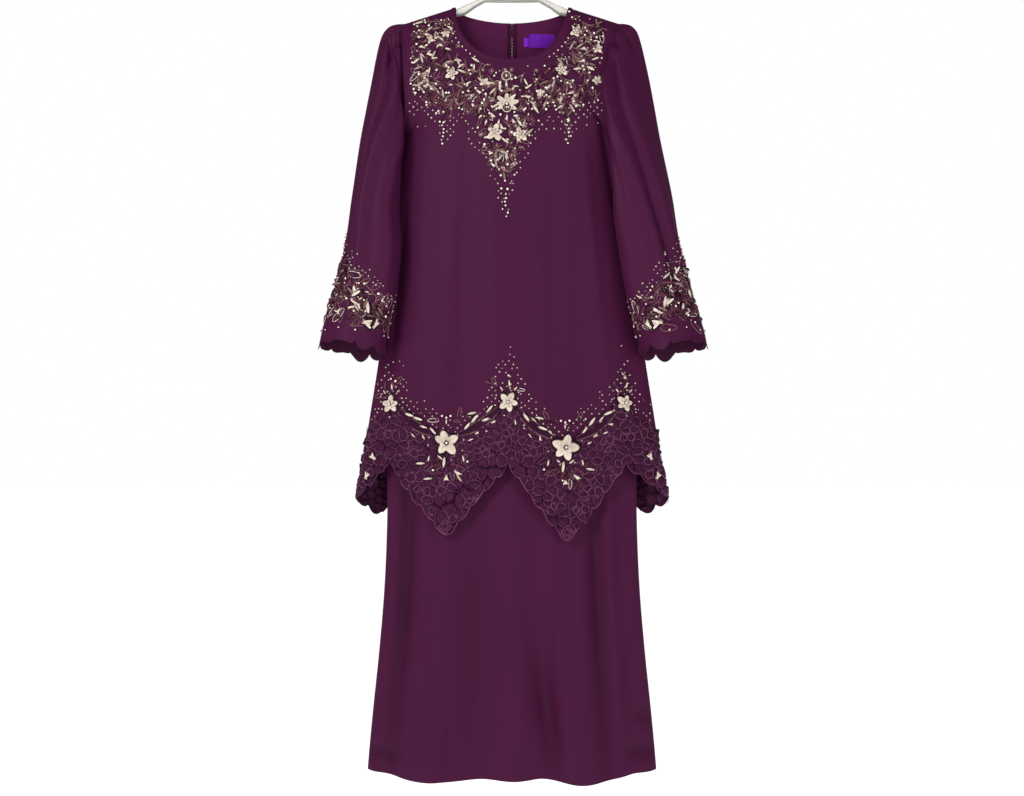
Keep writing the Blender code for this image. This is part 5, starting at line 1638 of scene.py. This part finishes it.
# What each kind of embroidered piece is made of: its motif and its look.
KINDS = {
    "petals": (partial(motif_leaf, False, 0.72, 0.24, 0.45, 0.2), "cream satin"),
    "slim_petals": (partial(motif_leaf, False, 0.50, 0.22, 0.45, 0.2), "cream satin"),
    # The dark edges under petals and pale leaves are partly dark outlines and partly painted shade round the
    # raised satin.
    "edges": (partial(motif_leaf, False, 0.88, 0.10), "dark satin"),
    "leaf_edges": (partial(motif_leaf, True, 0.40, 0.10), "dark satin"),
    "cream_leaves": (motif_leaf, "cream satin"),
    "rose_leaves": (motif_leaf, "rose satin"),
    "plum_leaves": (motif_leaf, "plum satin"),
    "hearts": (motif_blossom, "dark satin"),
    "rings": (partial(motif_bead, 3, 7, 0.3), "dark satin"),
    "pearls": (motif_bead, "pearl"),
    "beads": (partial(motif_bead, 4, 6), "bead"),
}
# A flower: its place, radius, petals, and how far round its petals go.
Bloom = namedtuple("Bloom", "x y radius petals turn fan", defaults=(5, 0.0, 1.0))


def ahead(x, y, heading, far):
    """The place this far along a heading."""
    return x + far * math.sin(heading), y + far * math.cos(heading)


class Embroidery:
    """Gathers the stitches of one ground, and then makes a piece of each kind."""

    def __init__(self, ground, seed, inside, scale=1.0):
        self.ground = ground
        self.random = np.random.default_rng(seed)
        self.inside = inside
        self.scale = scale
        self.spots = {kind: Spots() for kind in KINDS}
        self.stems = {thread: [] for thread in THREADS}
        self.sizes = settings().embroidery

    def raised(self, x, y):
        """How far the work stands out where something else lies under it."""
        return 0.0

    def kept(self, x, y):
        return bool(self.inside(np.array([x]), np.array([y]))[0])

    def thread(self, shares=(0.10, 0.22, 0.68)):
        return THREADS[self.random.choice(3, p=shares)]

    def holds(self, x, y, heading, size):
        """Whether a leaf from here stays inside the region."""
        return self.kept(*ahead(x, y, heading, size))

    def satin(self, x, y, heading, size, thread, tone):
        """A satin leaf, over a dark one that edges it if it is pale, as a dark outline that is partly painted
        shade.
        """
        lift = self.raised(x, y)
        if thread != "plum":
            under = ahead(x, y, heading, -size * EDGE_BACK)
            self.spots["leaf_edges"].add(*under, heading, size * EDGE_SCALE, 0.0, lift)
        self.spots[f"{thread}_leaves"].add(x, y, heading, size, tone, lift + PETAL_LIFT)

    def leaf(self, x, y, heading, size, thread):
        if self.holds(x, y, heading, size):
            self.satin(x, y, heading, size, thread, self.random.uniform(0.25, 0.95))

    def drop(self, x, y, heading, size):
        """A bright cream leaf."""
        self.satin(x, y, heading, size, "cream", 1.0)

    def pearl(self, x, y, size=1.0, lift=0.0):
        """A pearl in a dark ring of thread."""
        lift += self.raised(x, y)
        size = self.sizes.pearl * size
        self.spots["pearls"].add(x, y, 0, size, 0.5, lift)
        self.spots["rings"].add(x, y, 0, size * 1.55, 0.0, lift)

    def bead(self, x, y, size=1.0):
        size = self.sizes.bead * size * self.random.uniform(0.8, 1.15)
        self.spots["beads"].add(x, y, 0, size, 0.5, self.raised(x, y))

    def line(self, x, y, thread, thickness, closed=False, lift=0.0):
        plan = np.stack([x, y], -1)
        lift += self.raised(x, y)
        self.stems[thread].append(Line(plan, self.sizes.stem * thickness, lift, closed))

    def outline(self, x, y, heading, size, width=0.34):
        """A leaf that is only outlined in thread."""
        turn = circle(12)
        along = (1 - np.cos(turn)) / 2
        across = width / 2 * np.sin(turn) * (1.15 - 0.3 * along)
        sine, cosine = math.sin(heading), math.cos(heading)
        thread = "cream" if self.random.uniform() < CREAM_OUTLINES else "rose"
        x, y = x + size * (along * sine + across * cosine), y + size * (along * cosine - across * sine)
        self.line(x, y, thread, 0.36, closed=True)

    def spray(self, x, y, heading, length, thread, bend=None):
        """A curved stem with leaves on both sides and a pearl or a leaf at its tip."""
        bend = self.random.normal(0, 22) if bend is None else bend
        if not self.holds(x, y, heading, length * 0.6):
            heading += math.pi
        step = length / (STEM_POINTS - 1)
        path, turn = [(x, y)], heading
        for _ in range(STEM_POINTS - 1):
            x, y = ahead(x, y, turn, step)
            if not self.kept(x, y):
                break
            path.append((x, y))
            turn += bend * step
        if len(path) < 4:
            return
        path = np.array(path)
        self.line(*path.T, "plum" if thread == "plum" else "rose", 0.5)
        side = self.random.choice((-1, 1))
        place = LEAF_STEP * 0.8
        while place < step * (len(path) - 1) - LEAF_STEP * 0.4:
            here = place / step
            near = int(here)
            spot = path[near] + (path[min(near + 1, len(path) - 1)] - path[near]) * (here - near)
            facing = heading + bend * place + side * self.random.uniform(0.55, 0.95)
            size = self.sizes.leaf * self.scale * self.random.uniform(0.60, 1.30)
            if self.random.uniform() < OUTLINE_SHARE:
                self.outline(*spot, facing, size * 1.15)
            else:
                self.leaf(*spot, facing, size, thread)
            side = -side
            place += LEAF_STEP * self.scale * self.random.uniform(0.75, 1.15)
        if self.random.uniform() < 0.55:
            self.pearl(*path[-1], self.random.uniform(0.75, 1.1))
        else:
            tip_thread = "cream" if self.random.uniform() < 0.45 else thread
            self.leaf(*path[-1], turn, self.sizes.leaf * 1.1, tip_thread)

    def curl(self, x, y, heading, size):
        """A scroll of thread that winds in to a bead."""
        angle = np.linspace(0, 2 * math.pi * 1.35, 20)
        reach = size * (1 - 0.72 * angle / angle[-1])
        line_x, line_y = x + reach * np.sin(heading + angle), y + reach * np.cos(heading + angle)
        if self.kept(line_x[0], line_y[0]):
            self.line(line_x, line_y, "rose", 0.42)
            self.bead(x, y)

    def flower(self, bloom):
        """Cream petals over a dark edge that is partly painted shade, with a dark heart and a pearl in it."""
        x, y, radius, count = bloom[:4]
        lift = self.raised(x, y - radius)
        double = radius > 0.012
        for i in range(count):
            angle = bloom.turn + 2 * math.pi * ((i - (count - 1) / 2) / count) * bloom.fan
            size = radius * self.random.uniform(0.86, 1.10)
            self.petal(bloom, angle + self.random.normal(0, 0.08), size, lift)
            if double:
                self.petal(bloom, angle + math.pi / count, size * INNER_SHARE, lift + INNER_LIFT)
        raised = INNER_LIFT if double else 0.0
        self.spots["hearts"].add(x, y, 0, radius * HEART_SHARE * 0.8, 0.0, lift + radius * 0.07 + raised)
        size = self.sizes.pearl * min(radius * 55, 1.1)
        self.spots["pearls"].add(x, y, 0, size, 0.5, lift + radius * 0.12 + raised)

    def petal(self, bloom, angle, size, lift):
        """A cream petal over a dark one, which is partly painted shade between the petals."""
        kind = "slim_petals" if bloom.petals > 5 else "petals"
        self.spots["edges"].add(*bloom[:2], angle, size * 1.08 + 0.0006, 0.0, lift)
        self.spots[kind].add(*bloom[:2], angle, size, self.random.uniform(0.70, 1.0), lift + PETAL_LIFT)

    def wing(self, x, y, heading, size, count=3):
        """Cream leaves side by side, spread like a wing."""
        for i in range(count):
            turn = heading + (i - (count - 1) / 2) * WING_SPREAD
            self.drop(*ahead(x, y, turn, -size * 0.35), turn, size * (1 - 0.12 * (i % 2)))

    def rosette(self, x, y, radius):
        """Rings of thread round a pearl."""
        turn = circle(14)
        for share, thread in ((1.0, "cream"), (0.80, "plum"), (0.60, "rose")):
            ring_x, ring_y = x + radius * share * np.cos(turn), y + radius * share * np.sin(turn)
            self.line(ring_x, ring_y, thread, 0.5, closed=True, lift=ROSETTE_LIFT)
        self.pearl(x, y, 0.9, ROSETTE_LIFT)

    def fill(self, low, high, spacing):
        """Even but unregular places inside the ground's region."""
        rows = np.arange(low[1], high[1], spacing * 0.87)
        x, y = np.meshgrid(np.arange(low[0], high[0], spacing), rows)
        x = x + (np.arange(len(rows)) % 2)[:, None] * spacing / 2
        x = x + self.random.normal(0, spacing * 0.22, x.shape)
        y = y + self.random.normal(0, spacing * 0.22, y.shape)
        keep = self.inside(x, y)
        return np.stack([x[keep], y[keep]], -1)

    def clear_of_flowers(self, places, margin=1.0):
        """The places that no flower covers."""
        hearts = np.array(self.spots["hearts"])
        apart = np.hypot(*(places[:, None] - hearts[None, :, :2]).transpose(2, 0, 1))
        return places[(apart > hearts[:, 3] / HEART_SHARE * margin).all(1)]

    def make(self, prefix, nodes):
        """Makes the pieces, and hides these solids."""
        made = [
            scatter(f"{prefix}_{kind}", self.ground, self.spots[kind], motif(), look)
            for kind, (motif, look) in KINDS.items()
            if self.spots[kind]
        ]
        for thread in THREADS:
            if self.stems[thread]:
                name = f"{prefix}_{thread}_stems"
                cords(name, self.ground, self.stems[thread], f"{thread} thread")
        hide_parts(*nodes)


def mist(work, edge, span, spacing, depths, up=False):
    """Beads in a diamond lattice, which thins out away from the embroidery's edge."""
    random = work.random
    way = 1 if up else -1
    for column, x in enumerate(np.arange(*span, spacing / 2)):
        level = float(edge(np.array(x)))
        depth = depths(x) if callable(depths) else depths
        first = math.ceil(level / spacing) if up else math.floor(level / spacing)
        for row in range(int(depth / spacing) + 2):
            y = (first + way * row + (column % 2) / 2) * spacing
            reach = way * (y - level) / depth
            if 0 < reach < 1 and random.uniform() < 1.15 * (1 - reach) ** 0.8:
                jitter = random.normal(0, spacing * 0.07, 2)
                work.bead(x + jitter[0], y + jitter[1], random.uniform(0.7, 1.15))


# ---- the yoke
YOKE_EDGE = (
    (0.000, 0.020, 0.034, 0.056, 0.084, 0.111, 0.128, 0.150, 0.220),
    (-0.456, -0.406, -0.365, -0.322, -0.296, -0.325, -0.296, -0.284, -0.280),
)
YOKE_MIDDLE = -0.012
YOKE_REGION = ((-0.19, -0.45), (0.19, -0.10))
NECK_CLEAR = 0.0120
YOKE_SPRAYS = 0.62
YOKE_BLOOMS = rows(
    Bloom, (-0.009, -0.29, 0.0215, 7, 0, 0.78), (-0.03, -0.339, 0.0165, 5, 0.2),
    (0.014, -0.343, 0.0155, 5, -0.3), (-0.106, -0.234, 0.013, 5, 0.3), (0.087, -0.228, 0.013, 5, -0.2),
    (0.114, -0.157, 0.0125, 5, 0.4), (-0.118, -0.16, 0.0105, 6), (-0.146, -0.172, 0.009, 5, 0.5),
    (0.152, -0.188, 0.01), (-0.048, -0.251, 0.0095, 5, 0.6), (0.05, -0.268, 0.0085, 5, 0.1),
    (-0.153, -0.238, 0.0085, 5, 0.7), (0.15, -0.246, 0.009, 5, 0.9),
)


def yoke_top(x):
    """Height that the yoke's embroidery starts at, clear of the neck's edge."""
    width = np.abs(x)
    inner = np.maximum(width - NECK_CLEAR, 0)
    neck = shoulder_height(inner / SHOULDER_HALF_WIDTH) - neckline_drop(FRONT, inner / NECK_HALF_WIDTH)
    shoulder = shoulder_height(x / SHOULDER_HALF_WIDTH) - 0.007
    return np.where(width < NECK_HALF_WIDTH, neck - NECK_CLEAR, shoulder)


def yoke_edge(x):
    return np.interp(np.abs(x - YOKE_MIDDLE), *YOKE_EDGE)


def in_yoke(x, y):
    side = half_width(FRONT, np.sign(x), shoulder_height(x / SHOULDER_HALF_WIDTH) - y)
    return (y < yoke_top(x)) & (y > yoke_edge(x)) & (np.abs(x) < side - 0.0072)


def make_yoke():
    work = Embroidery(PanelGround(FRONT), 11, in_yoke)
    random = work.random
    for bloom in YOKE_BLOOMS:
        work.flower(bloom)
    work.rosette(-0.009, -0.296, 0.0080)
    work.drop(-0.009, -0.307, math.pi, 0.013)
    work.rosette(-0.010, -0.240, 0.0078)
    work.wing(-0.010, -0.252, math.pi, 0.0130, 2)
    for x, y in work.clear_of_flowers(work.fill(*YOKE_REGION, 0.0126), 0.85):
        heading = math.atan2(x, y + 0.125) + random.normal(0, 0.85)
        pick = random.uniform() - YOKE_SPRAYS
        if pick < 0:
            work.spray(x, y, heading, random.uniform(0.020, 0.040), work.thread())
        elif pick < 0.14:
            work.curl(x, y, heading, random.uniform(0.004, 0.0065))
        elif pick < 0.21 and work.holds(x, y, heading, 0.020):
            work.wing(x, y, heading, random.uniform(0.010, 0.015), 2)
        elif pick < 0.28 and work.holds(x, y, heading, 0.020):
            work.drop(x, y, heading, random.uniform(0.011, 0.016))
        else:
            work.pearl(x, y, random.uniform(0.8, 1.2))
    for x, y in work.clear_of_flowers(work.fill(*YOKE_REGION, 0.0105)):
        if random.uniform() < 0.24:
            work.bead(x, y, random.uniform(0.8, 1.1))
    for width, low in ((0.0135, 0.30), (0.0205, 0.82)):
        for side in (-1, 1):
            for reach in even_reaches(FRONT, low, 0.985, width, 0.0096):
                place = neck_plan(FRONT, side * reach, width)
                work.pearl(*map(float, place), 0.66 * random.uniform(0.85, 1.1))
    mist(work, yoke_edge, (-0.180, 0.160), 0.0130, 0.042)
    for x in (-0.123, 0.099, -0.0125):
        for i in range(7):
            y = float(yoke_edge(x)) + 0.006 - 0.0064 * i
            work.pearl(x + random.normal(0, 0.0022), y, random.uniform(0.6, 1.0))
    work.make("yoke", [f"yoke_flower_{number}" for number in range(1, 6)])


# ---- the hem's flowers, swags and beads
HEM_RAISE = 0.0022
HEM_CLEAR = 0.006
SWAG_SAG = 0.0055
SWAG_CORDS = (
    (-0.0075, "rose", 0.45), (-0.0052, "plum", 1.0), (-0.0020, "plum", 1.1),
    (0.0014, "plum", 1.1), (0.0046, "plum", 1.0), (0.0072, "rose", 0.45),
)
SWAG_POINTS = 14
SWAG_LEAF_STEP = 0.0170
HEM_BLOOMS = {
    FRONT: rows(
        Bloom, (-0.214, -0.817, 0.017), (-0.1155, -0.885, 0.0255), (-0.006, -0.813, 0.0185, 5, 0.4),
        (0.093, -0.893, 0.025, 5, 0.2), (0.198, -0.815, 0.017, 5, 0.3),
    ),
    BACK: rows(
        Bloom, (-0.155, -0.818, 0.017), (-0.08, -0.889, 0.025, 5, 0.2), (0, -0.813, 0.0185),
        (0.08, -0.889, 0.025, 5, 0.4), (0.155, -0.818, 0.017, 5, 0.2),
    ),
}
HEM_ENDS = {FRONT: 0.252, BACK: 0.235}
LARGE_BLOOM = 0.022


class HemWork(Embroidery):
    """Embroidery that stands on the lace where it lies over it."""

    def __init__(self, panel, seed):
        super().__init__(PanelGround(panel), seed, self.on_hem)
        self.panel = panel

    def lace_at(self, x, y):
        """(seam, edge, share of the half width) at a plan place near the hem."""
        share = x / SHOULDER_HALF_WIDTH
        for _ in range(6):
            share = np.clip(x / half_width(self.panel, share, shoulder_height(share) - y), -1, 1)
        return *hem_rows(self.panel, share)[:2], share

    def on_hem(self, x, y):
        seam, edge, share = self.lace_at(x, y)
        return (y > edge + HEM_CLEAR) & (y < seam + 0.075) & (np.abs(share) < 0.985)

    def raised(self, x, y):
        return HEM_RAISE if np.any(y < self.lace_at(x, y)[0] + LACE_LAP + 0.004) else 0.0

    def top(self, x):
        """Height of the lace's seam, where the beads above it start."""
        return self.lace_at(x, -0.85)[0] + 0.004


def swag(work, start, end):
    """Cords side by side that hang between two flowers, with a strip of cream leaves."""
    length = np.linalg.norm(end - start)
    along = (end - start) / length
    across = np.array([-along[1], along[0]])
    if across[1] > 0:
        across = -across
    share = np.linspace(0, 1, SWAG_POINTS)[:, None]
    middle = start + (end - start) * share + across * SWAG_SAG * 4 * share * (1 - share)
    for offset, thread, thickness in SWAG_CORDS:
        spread = offset * (0.45 + 0.55 * np.sin(math.pi * share))
        work.line(*(middle + across * spread).T, thread, thickness)
    for i in range(int(length / SWAG_LEAF_STEP)):
        place = (i + 0.6) * SWAG_LEAF_STEP / length
        spot = np.array([np.interp(place, share[:, 0], middle[:, k]) for k in (0, 1)])
        spot = spot - across * (0.0035 + 0.006 * (i % 2))
        heading = math.atan2(*along) + work.random.choice((-0.30, 0.25))
        work.drop(*spot, heading, work.random.uniform(0.0170, 0.0230))
        outer = spot + across * 0.0200
        if work.kept(*outer):
            work.wing(*outer, heading + 0.5, 0.0105, 1 + i % 2)


def large_bloom(work, x, y, radius):
    """What stands round a flower at one of the lace's deep points."""
    above, below = y + radius, y - radius - 0.004
    for i in range(3):
        work.pearl(x + (i - 1) * 0.0075, above + 0.019 + 0.003 * abs(i - 1))
    work.drop(x, above + 0.017, math.pi, 0.010)
    for side in (-1, 1):
        work.spray(x + side * 0.006, above + 0.010, side * 0.9, 0.034, "plum", side * 14)
    for side in (-1, 1):
        work.drop(x + side * 0.016, below + 0.008, math.pi + side * 0.9, 0.013)
        work.outline(x + side * 0.010, below - 0.010, math.pi - side * 1.2, 0.024)
        work.wing(x + side * 0.030, below + 0.004, math.pi - side * 0.2, 0.0125, 1)
    work.drop(x - 0.003, below + 0.006, math.pi + 0.1, 0.022)
    work.wing(x, below - 0.030, math.pi, 0.0130)
    work.wing(x + 0.018, below - 0.022, math.pi - 0.9, 0.0170, 2)
    for i in range(5):
        heading = math.pi + (i - 2) * 0.7
        work.spray(x, below - 0.002, heading, work.random.uniform(0.028, 0.046), "plum")


def small_bloom(work, x, y, radius):
    """What stands round a flower between two deep points."""
    above = y + radius
    work.drop(x + 0.002, above + 0.007, work.random.normal(0, 0.15), 0.014)
    for side in (-1, 1):
        work.drop(x + side * 0.009, above + 0.001, side * 0.7, 0.010)
        work.spray(x, y + 0.01, side * 0.8, 0.034, "plum")
    work.pearl(x, above + 0.028, 0.9)


def hem_work(panel, word, seed):
    work = HemWork(panel, seed)
    random, blooms = work.random, HEM_BLOOMS[panel]
    for bloom in blooms:
        work.flower(bloom)
        around = large_bloom if bloom.radius > LARGE_BLOOM else small_bloom
        around(work, *bloom[:3])
        for i in range(6):
            angle = 2 * math.pi * i / 6 + random.normal(0, 0.2)
            work.bead(*ahead(*bloom[:2], angle, bloom.radius + 0.006), 1.1)
    for first, second in zip(blooms, blooms[1:]):
        start, end = np.array(first[:2]), np.array(second[:2])
        step = (end - start) / np.linalg.norm(end - start)
        swag(work, start + step * (first.radius + 0.002), end - step * (second.radius + 0.002))
    for x in (-HEM_ENDS[panel], HEM_ENDS[panel]):
        for reach, y, heading in ((1.02, -0.946, 0.5), (0.97, -0.912, -0.7)):
            work.wing(x * reach, y, heading + random.normal(0, 0.2), 0.0170)
        for i in range(5):
            work.leaf(x * (1.0 - 0.015 * i), -0.880 + 0.016 * i, -math.copysign(0.5, x), 0.014, "plum")

    def mist_depth(x):
        peaks = [bloom.x for bloom in blooms if bloom.radius < LARGE_BLOOM]
        return 0.045 + 0.060 * sum(bell(x, peak, 0.030) for peak in peaks)

    mist(work, work.top, (-0.25, 0.25), 0.0130, mist_depth, up=True)
    nodes = [f"hem_flower_{word}_{number}" for number in range(1, 6)]
    nodes += [f"swag_{word}_{number}" for number in range(1, 5)]
    work.make(f"hem_{word}", nodes)


def make_hem():
    hem_work(FRONT, "front", 23)
    hem_work(BACK, "back", 29)


# ---- the cuffs' embroidery
CUFF_ROUND = CUFF_RADIUS * math.pi
CUFF_RISE = 0.120
CUFF_CLEAR = 0.008
CUFF_THREADS = (0.06, 0.22, 0.72)
CUFF_PEARLS = 12
CUFF_SCALE = 1.25
# A group of cream leaves: its place, heading, size and number.
Wing = namedtuple("Wing", "across up heading size count")
CUFF_WINGS = rows(
    Wing, (0.054, 0.104, -0.2, 0.015, 2), (0.056, 0.09, 0.4, 0.013, 2), (0.042, 0.06, 0.3, 0.014, 2),
    (0.084, 0.062, 0.2, 0.021, 3), (0.09, 0.042, -0.7, 0.019, 2), (0.111, 0.028, 0.9, 0.016, 2),
    (0.115, 0.006, 1.8, 0.021, 3), (0.133, 0.003, 0.5, 0.018, 2), (0.063, 0.022, -0.4, 0.013, 3),
    (0.02, 0.05, 0.1, 0.013, 2),
)


def cuff_top(across):
    """Height of the embroidery's upper edge, which falls away from the sleeve's outer side."""
    share = np.clip(np.abs(across) / CUFF_ROUND, 0, 1)
    return 0.022 + CUFF_RISE * (1 - share**1.25)


def in_cuff(across, up):
    low = CUFF_CLEAR - 0.018 * ease(np.abs(across), 0.02, 0.13)
    return (up > low) & (up < cuff_top(across) + 0.004) & (np.abs(across) < CUFF_ROUND * 0.97)


def make_cuff_work():
    for side, word in SIDES:
        work = Embroidery(SleeveGround(side), 40 + side, in_cuff, CUFF_SCALE)
        random = work.random
        for half in (1, -1):
            for row in CUFF_WINGS:
                work.wing(half * row.across, row.up, half * row.heading, row.size * CUFF_SCALE, row.count)
        region = ((-CUFF_ROUND, -0.012), (CUFF_ROUND, 0.16))
        for x, y in work.fill(*region, 0.0140):
            heading = random.normal(0, 1.1)
            pick = random.uniform()
            if pick < 0.62:
                work.spray(x, y, heading, random.uniform(0.018, 0.036), work.thread(CUFF_THREADS))
            elif pick < 0.93:
                work.outline(x, y, heading, random.uniform(0.018, 0.030), 0.45)
                work.leaf(x, y, heading, random.uniform(0.013, 0.019), "plum")
            else:
                work.drop(x, y, heading, random.uniform(0.009, 0.013))
        for x, y in work.fill(*region, 0.0115):
            if random.uniform() < 0.15:
                work.bead(x, y, random.uniform(0.8, 1.3))
        mist(work, cuff_top, (-CUFF_ROUND * 0.95, CUFF_ROUND * 0.95), 0.0120, 0.036, up=True)
        for i in range(CUFF_PEARLS):
            across = CUFF_ROUND * (2 * (i + 0.5) / CUFF_PEARLS - 1)
            work.pearl(across, -0.006 - 0.003 * (i % 2), 0.62 + 0.2 * (i % 3 == 0), 0.0006)
        work.make(f"cuff_work_{word}", [f"cuff_flower_{word}_front", f"cuff_flower_{word}_back"])


# ---- the hanger, the hook and the zip's steel keep the solids' own shapes
def make_hanger():
    for node in ("hanger_body", "hanger_hook", "zip_slider", "zip_pull"):
        look = "plastic" if node == "hanger_body" else "steel"
        mesh = bpy.data.objects[node].data
        mesh.materials.clear()
        mesh.materials.append(finish(look))
    mesh = bpy.data.objects["hanger_body"].data
    # Painted shade: faces that look down are marked to be darkened in the plastic.
    under = mesh.attributes.new("under", "FLOAT", "FACE")
    for face in mesh.polygons:
        under.data[face.index].value = min(max(-face.normal.z * 2.0 - 0.20, 0.0), 1.0)


# ---- the stage
FLOOR_HEIGHT = -2.30
FLOOR_HALF = 30.0
WORLD_LIGHT = 0.185


def soft_world():
    """White where the camera looks past the garment, and a low even light elsewhere."""
    world = bpy.data.worlds.new("soft white")
    world.use_nodes = True
    tree = world.node_tree
    shown = tree.nodes["Background"]
    feed(tree, shown.inputs["Color"], (1, 1, 1))
    feed(tree, shown.inputs["Strength"], 1.0)
    lit = add_node(tree, "ShaderNodeBackground", None, {"Color": (1.0, 0.985, 0.97), "Strength": WORLD_LIGHT})
    seen = add_node(tree, "ShaderNodeLightPath").outputs["Is Camera Ray"]
    mixed = add_node(tree, "ShaderNodeMixShader", None, {0: seen, 1: lit.outputs[0], 2: shown.outputs[0]})
    feed(tree, tree.nodes["World Output"].inputs["Surface"], mixed.outputs[0])
    return world


def make_stage():
    """A pale floor, soft even light and a camera square to the front."""
    sizes, scene = settings().stage, bpy.context.scene
    scene.view_settings.view_transform = "Standard"
    scene.world = soft_world()
    mesh = bpy.data.meshes.new("floor")
    signs = ((-1, -1), (1, -1), (1, 1), (-1, 1))
    corners = [(x * FLOOR_HALF, y * FLOOR_HALF, FLOOR_HEIGHT) for x, y in signs]
    mesh.from_pydata(corners, [], [range(4)])
    mesh.materials.append(floor_finish())
    made = [bpy.data.objects.new("floor", mesh)]
    for name, place, size, power in (
        ("key", (-1.8, -3.2, 0.9), 1.2, 77.0),
        ("fill", (1.7, -3.4, 0.2), 1.6, 30.0),
        ("back", (0.6, 3.0, 1.0), 2.0, 48.0),
    ):
        lamp = bpy.data.lights.new(name, "AREA")
        lamp.shape = "DISK"
        lamp.size = size
        lamp.energy = power
        light = bpy.data.objects.new(name, lamp)
        light.location = place
        aim = Vector((0, 0, sizes.eye_height)) - light.location
        light.rotation_euler = aim.to_track_quat("-Z", "Y").to_euler()
        made.append(light)
    camera = bpy.data.objects.new("camera", bpy.data.cameras.new("camera"))
    camera.data.lens = sizes.lens
    camera.data.sensor_width = 36
    camera.location = (0, -sizes.distance, sizes.eye_height)
    camera.rotation_euler = (math.pi / 2, 0, 0)
    made.append(camera)
    for obj in made:
        scene.collection.objects.link(obj)
    scene.camera = camera


# ---- operators, one for each group of pieces
def operator(key, label, description, action):
    """An Operator class that runs one of the functions above."""

    def execute(self, context):
        action()
        return {"FINISHED"}

    given = {"bl_idname": f"baju.{key}", "bl_label": label, "__doc__": description, "execute": execute}
    return type(f"BAJU_OT_{key}", (bpy.types.Operator,), given)


OPERATORS = [
    operator("tunic", "Tunic", "Make the tunic's front and backs", make_tunic),
    operator("sleeves", "Sleeves", "Make the sleeves and their cuffs", make_sleeves),
    operator("lace", "Hem lace", "Make the corded lace at the tunic's hem", make_lace),
    operator("neck", "Neck", "Bind the neck's edge", make_neck),
    operator("zip", "Zip", "Make the zip's tapes, teeth and stitches", make_zip),
    operator("labels", "Labels", "Make the labels inside the neck", make_labels),
    operator("yoke", "Yoke", "Embroider the front's yoke", make_yoke),
    operator("hem", "Hem work", "Embroider the flowers and swags over the hem lace", make_hem),
    operator("cuffs", "Cuff work", "Embroider both sleeves above their cuffs", make_cuff_work),
    operator("skirt", "Skirt", "Make the skirt and its waistband", make_skirt),
    operator("ribbons", "Ribbons", "Make the hanging ribbons", make_ribbons),
    operator("hanger", "Hanger", "Finish the hanger and its hook", make_hanger),
    operator("stage", "Stage", "Set the floor, the light and the camera", make_stage),
]


class BAJU_PT_panel(bpy.types.Panel):
    bl_label = "Baju Kurung"
    bl_idname = "BAJU_PT_panel"
    bl_space_type = "VIEW_3D"
    bl_region_type = "UI"
    bl_category = "Baju Kurung"

    def draw(self, context):
        groups = context.scene.baju_kurung
        for group in (groups.cloth, groups.lace, groups.embroidery, groups.hardware, groups.stage):
            box = self.layout.box()
            for name in group.__annotations__:
                box.prop(group, name)
        for made in OPERATORS:
            self.layout.operator(made.bl_idname)


GROUPS = (ClothSettings, LaceSettings, EmbroiderySettings, HardwareSettings, StageSettings)
CLASSES = (*GROUPS, BajuKurungSettings, *OPERATORS, BAJU_PT_panel)


def register():
    for made in CLASSES:
        bpy.utils.register_class(made)
    bpy.types.Scene.baju_kurung = bpy.props.PointerProperty(type=BajuKurungSettings)


def unregister():
    del bpy.types.Scene.baju_kurung
    for made in reversed(CLASSES):
        bpy.utils.unregister_class(made)


def main():
    register()
    for made in OPERATORS:
        group, name = made.bl_idname.split(".")
        getattr(getattr(bpy.ops, group), name)()


if __name__ == "__main__":
    main()
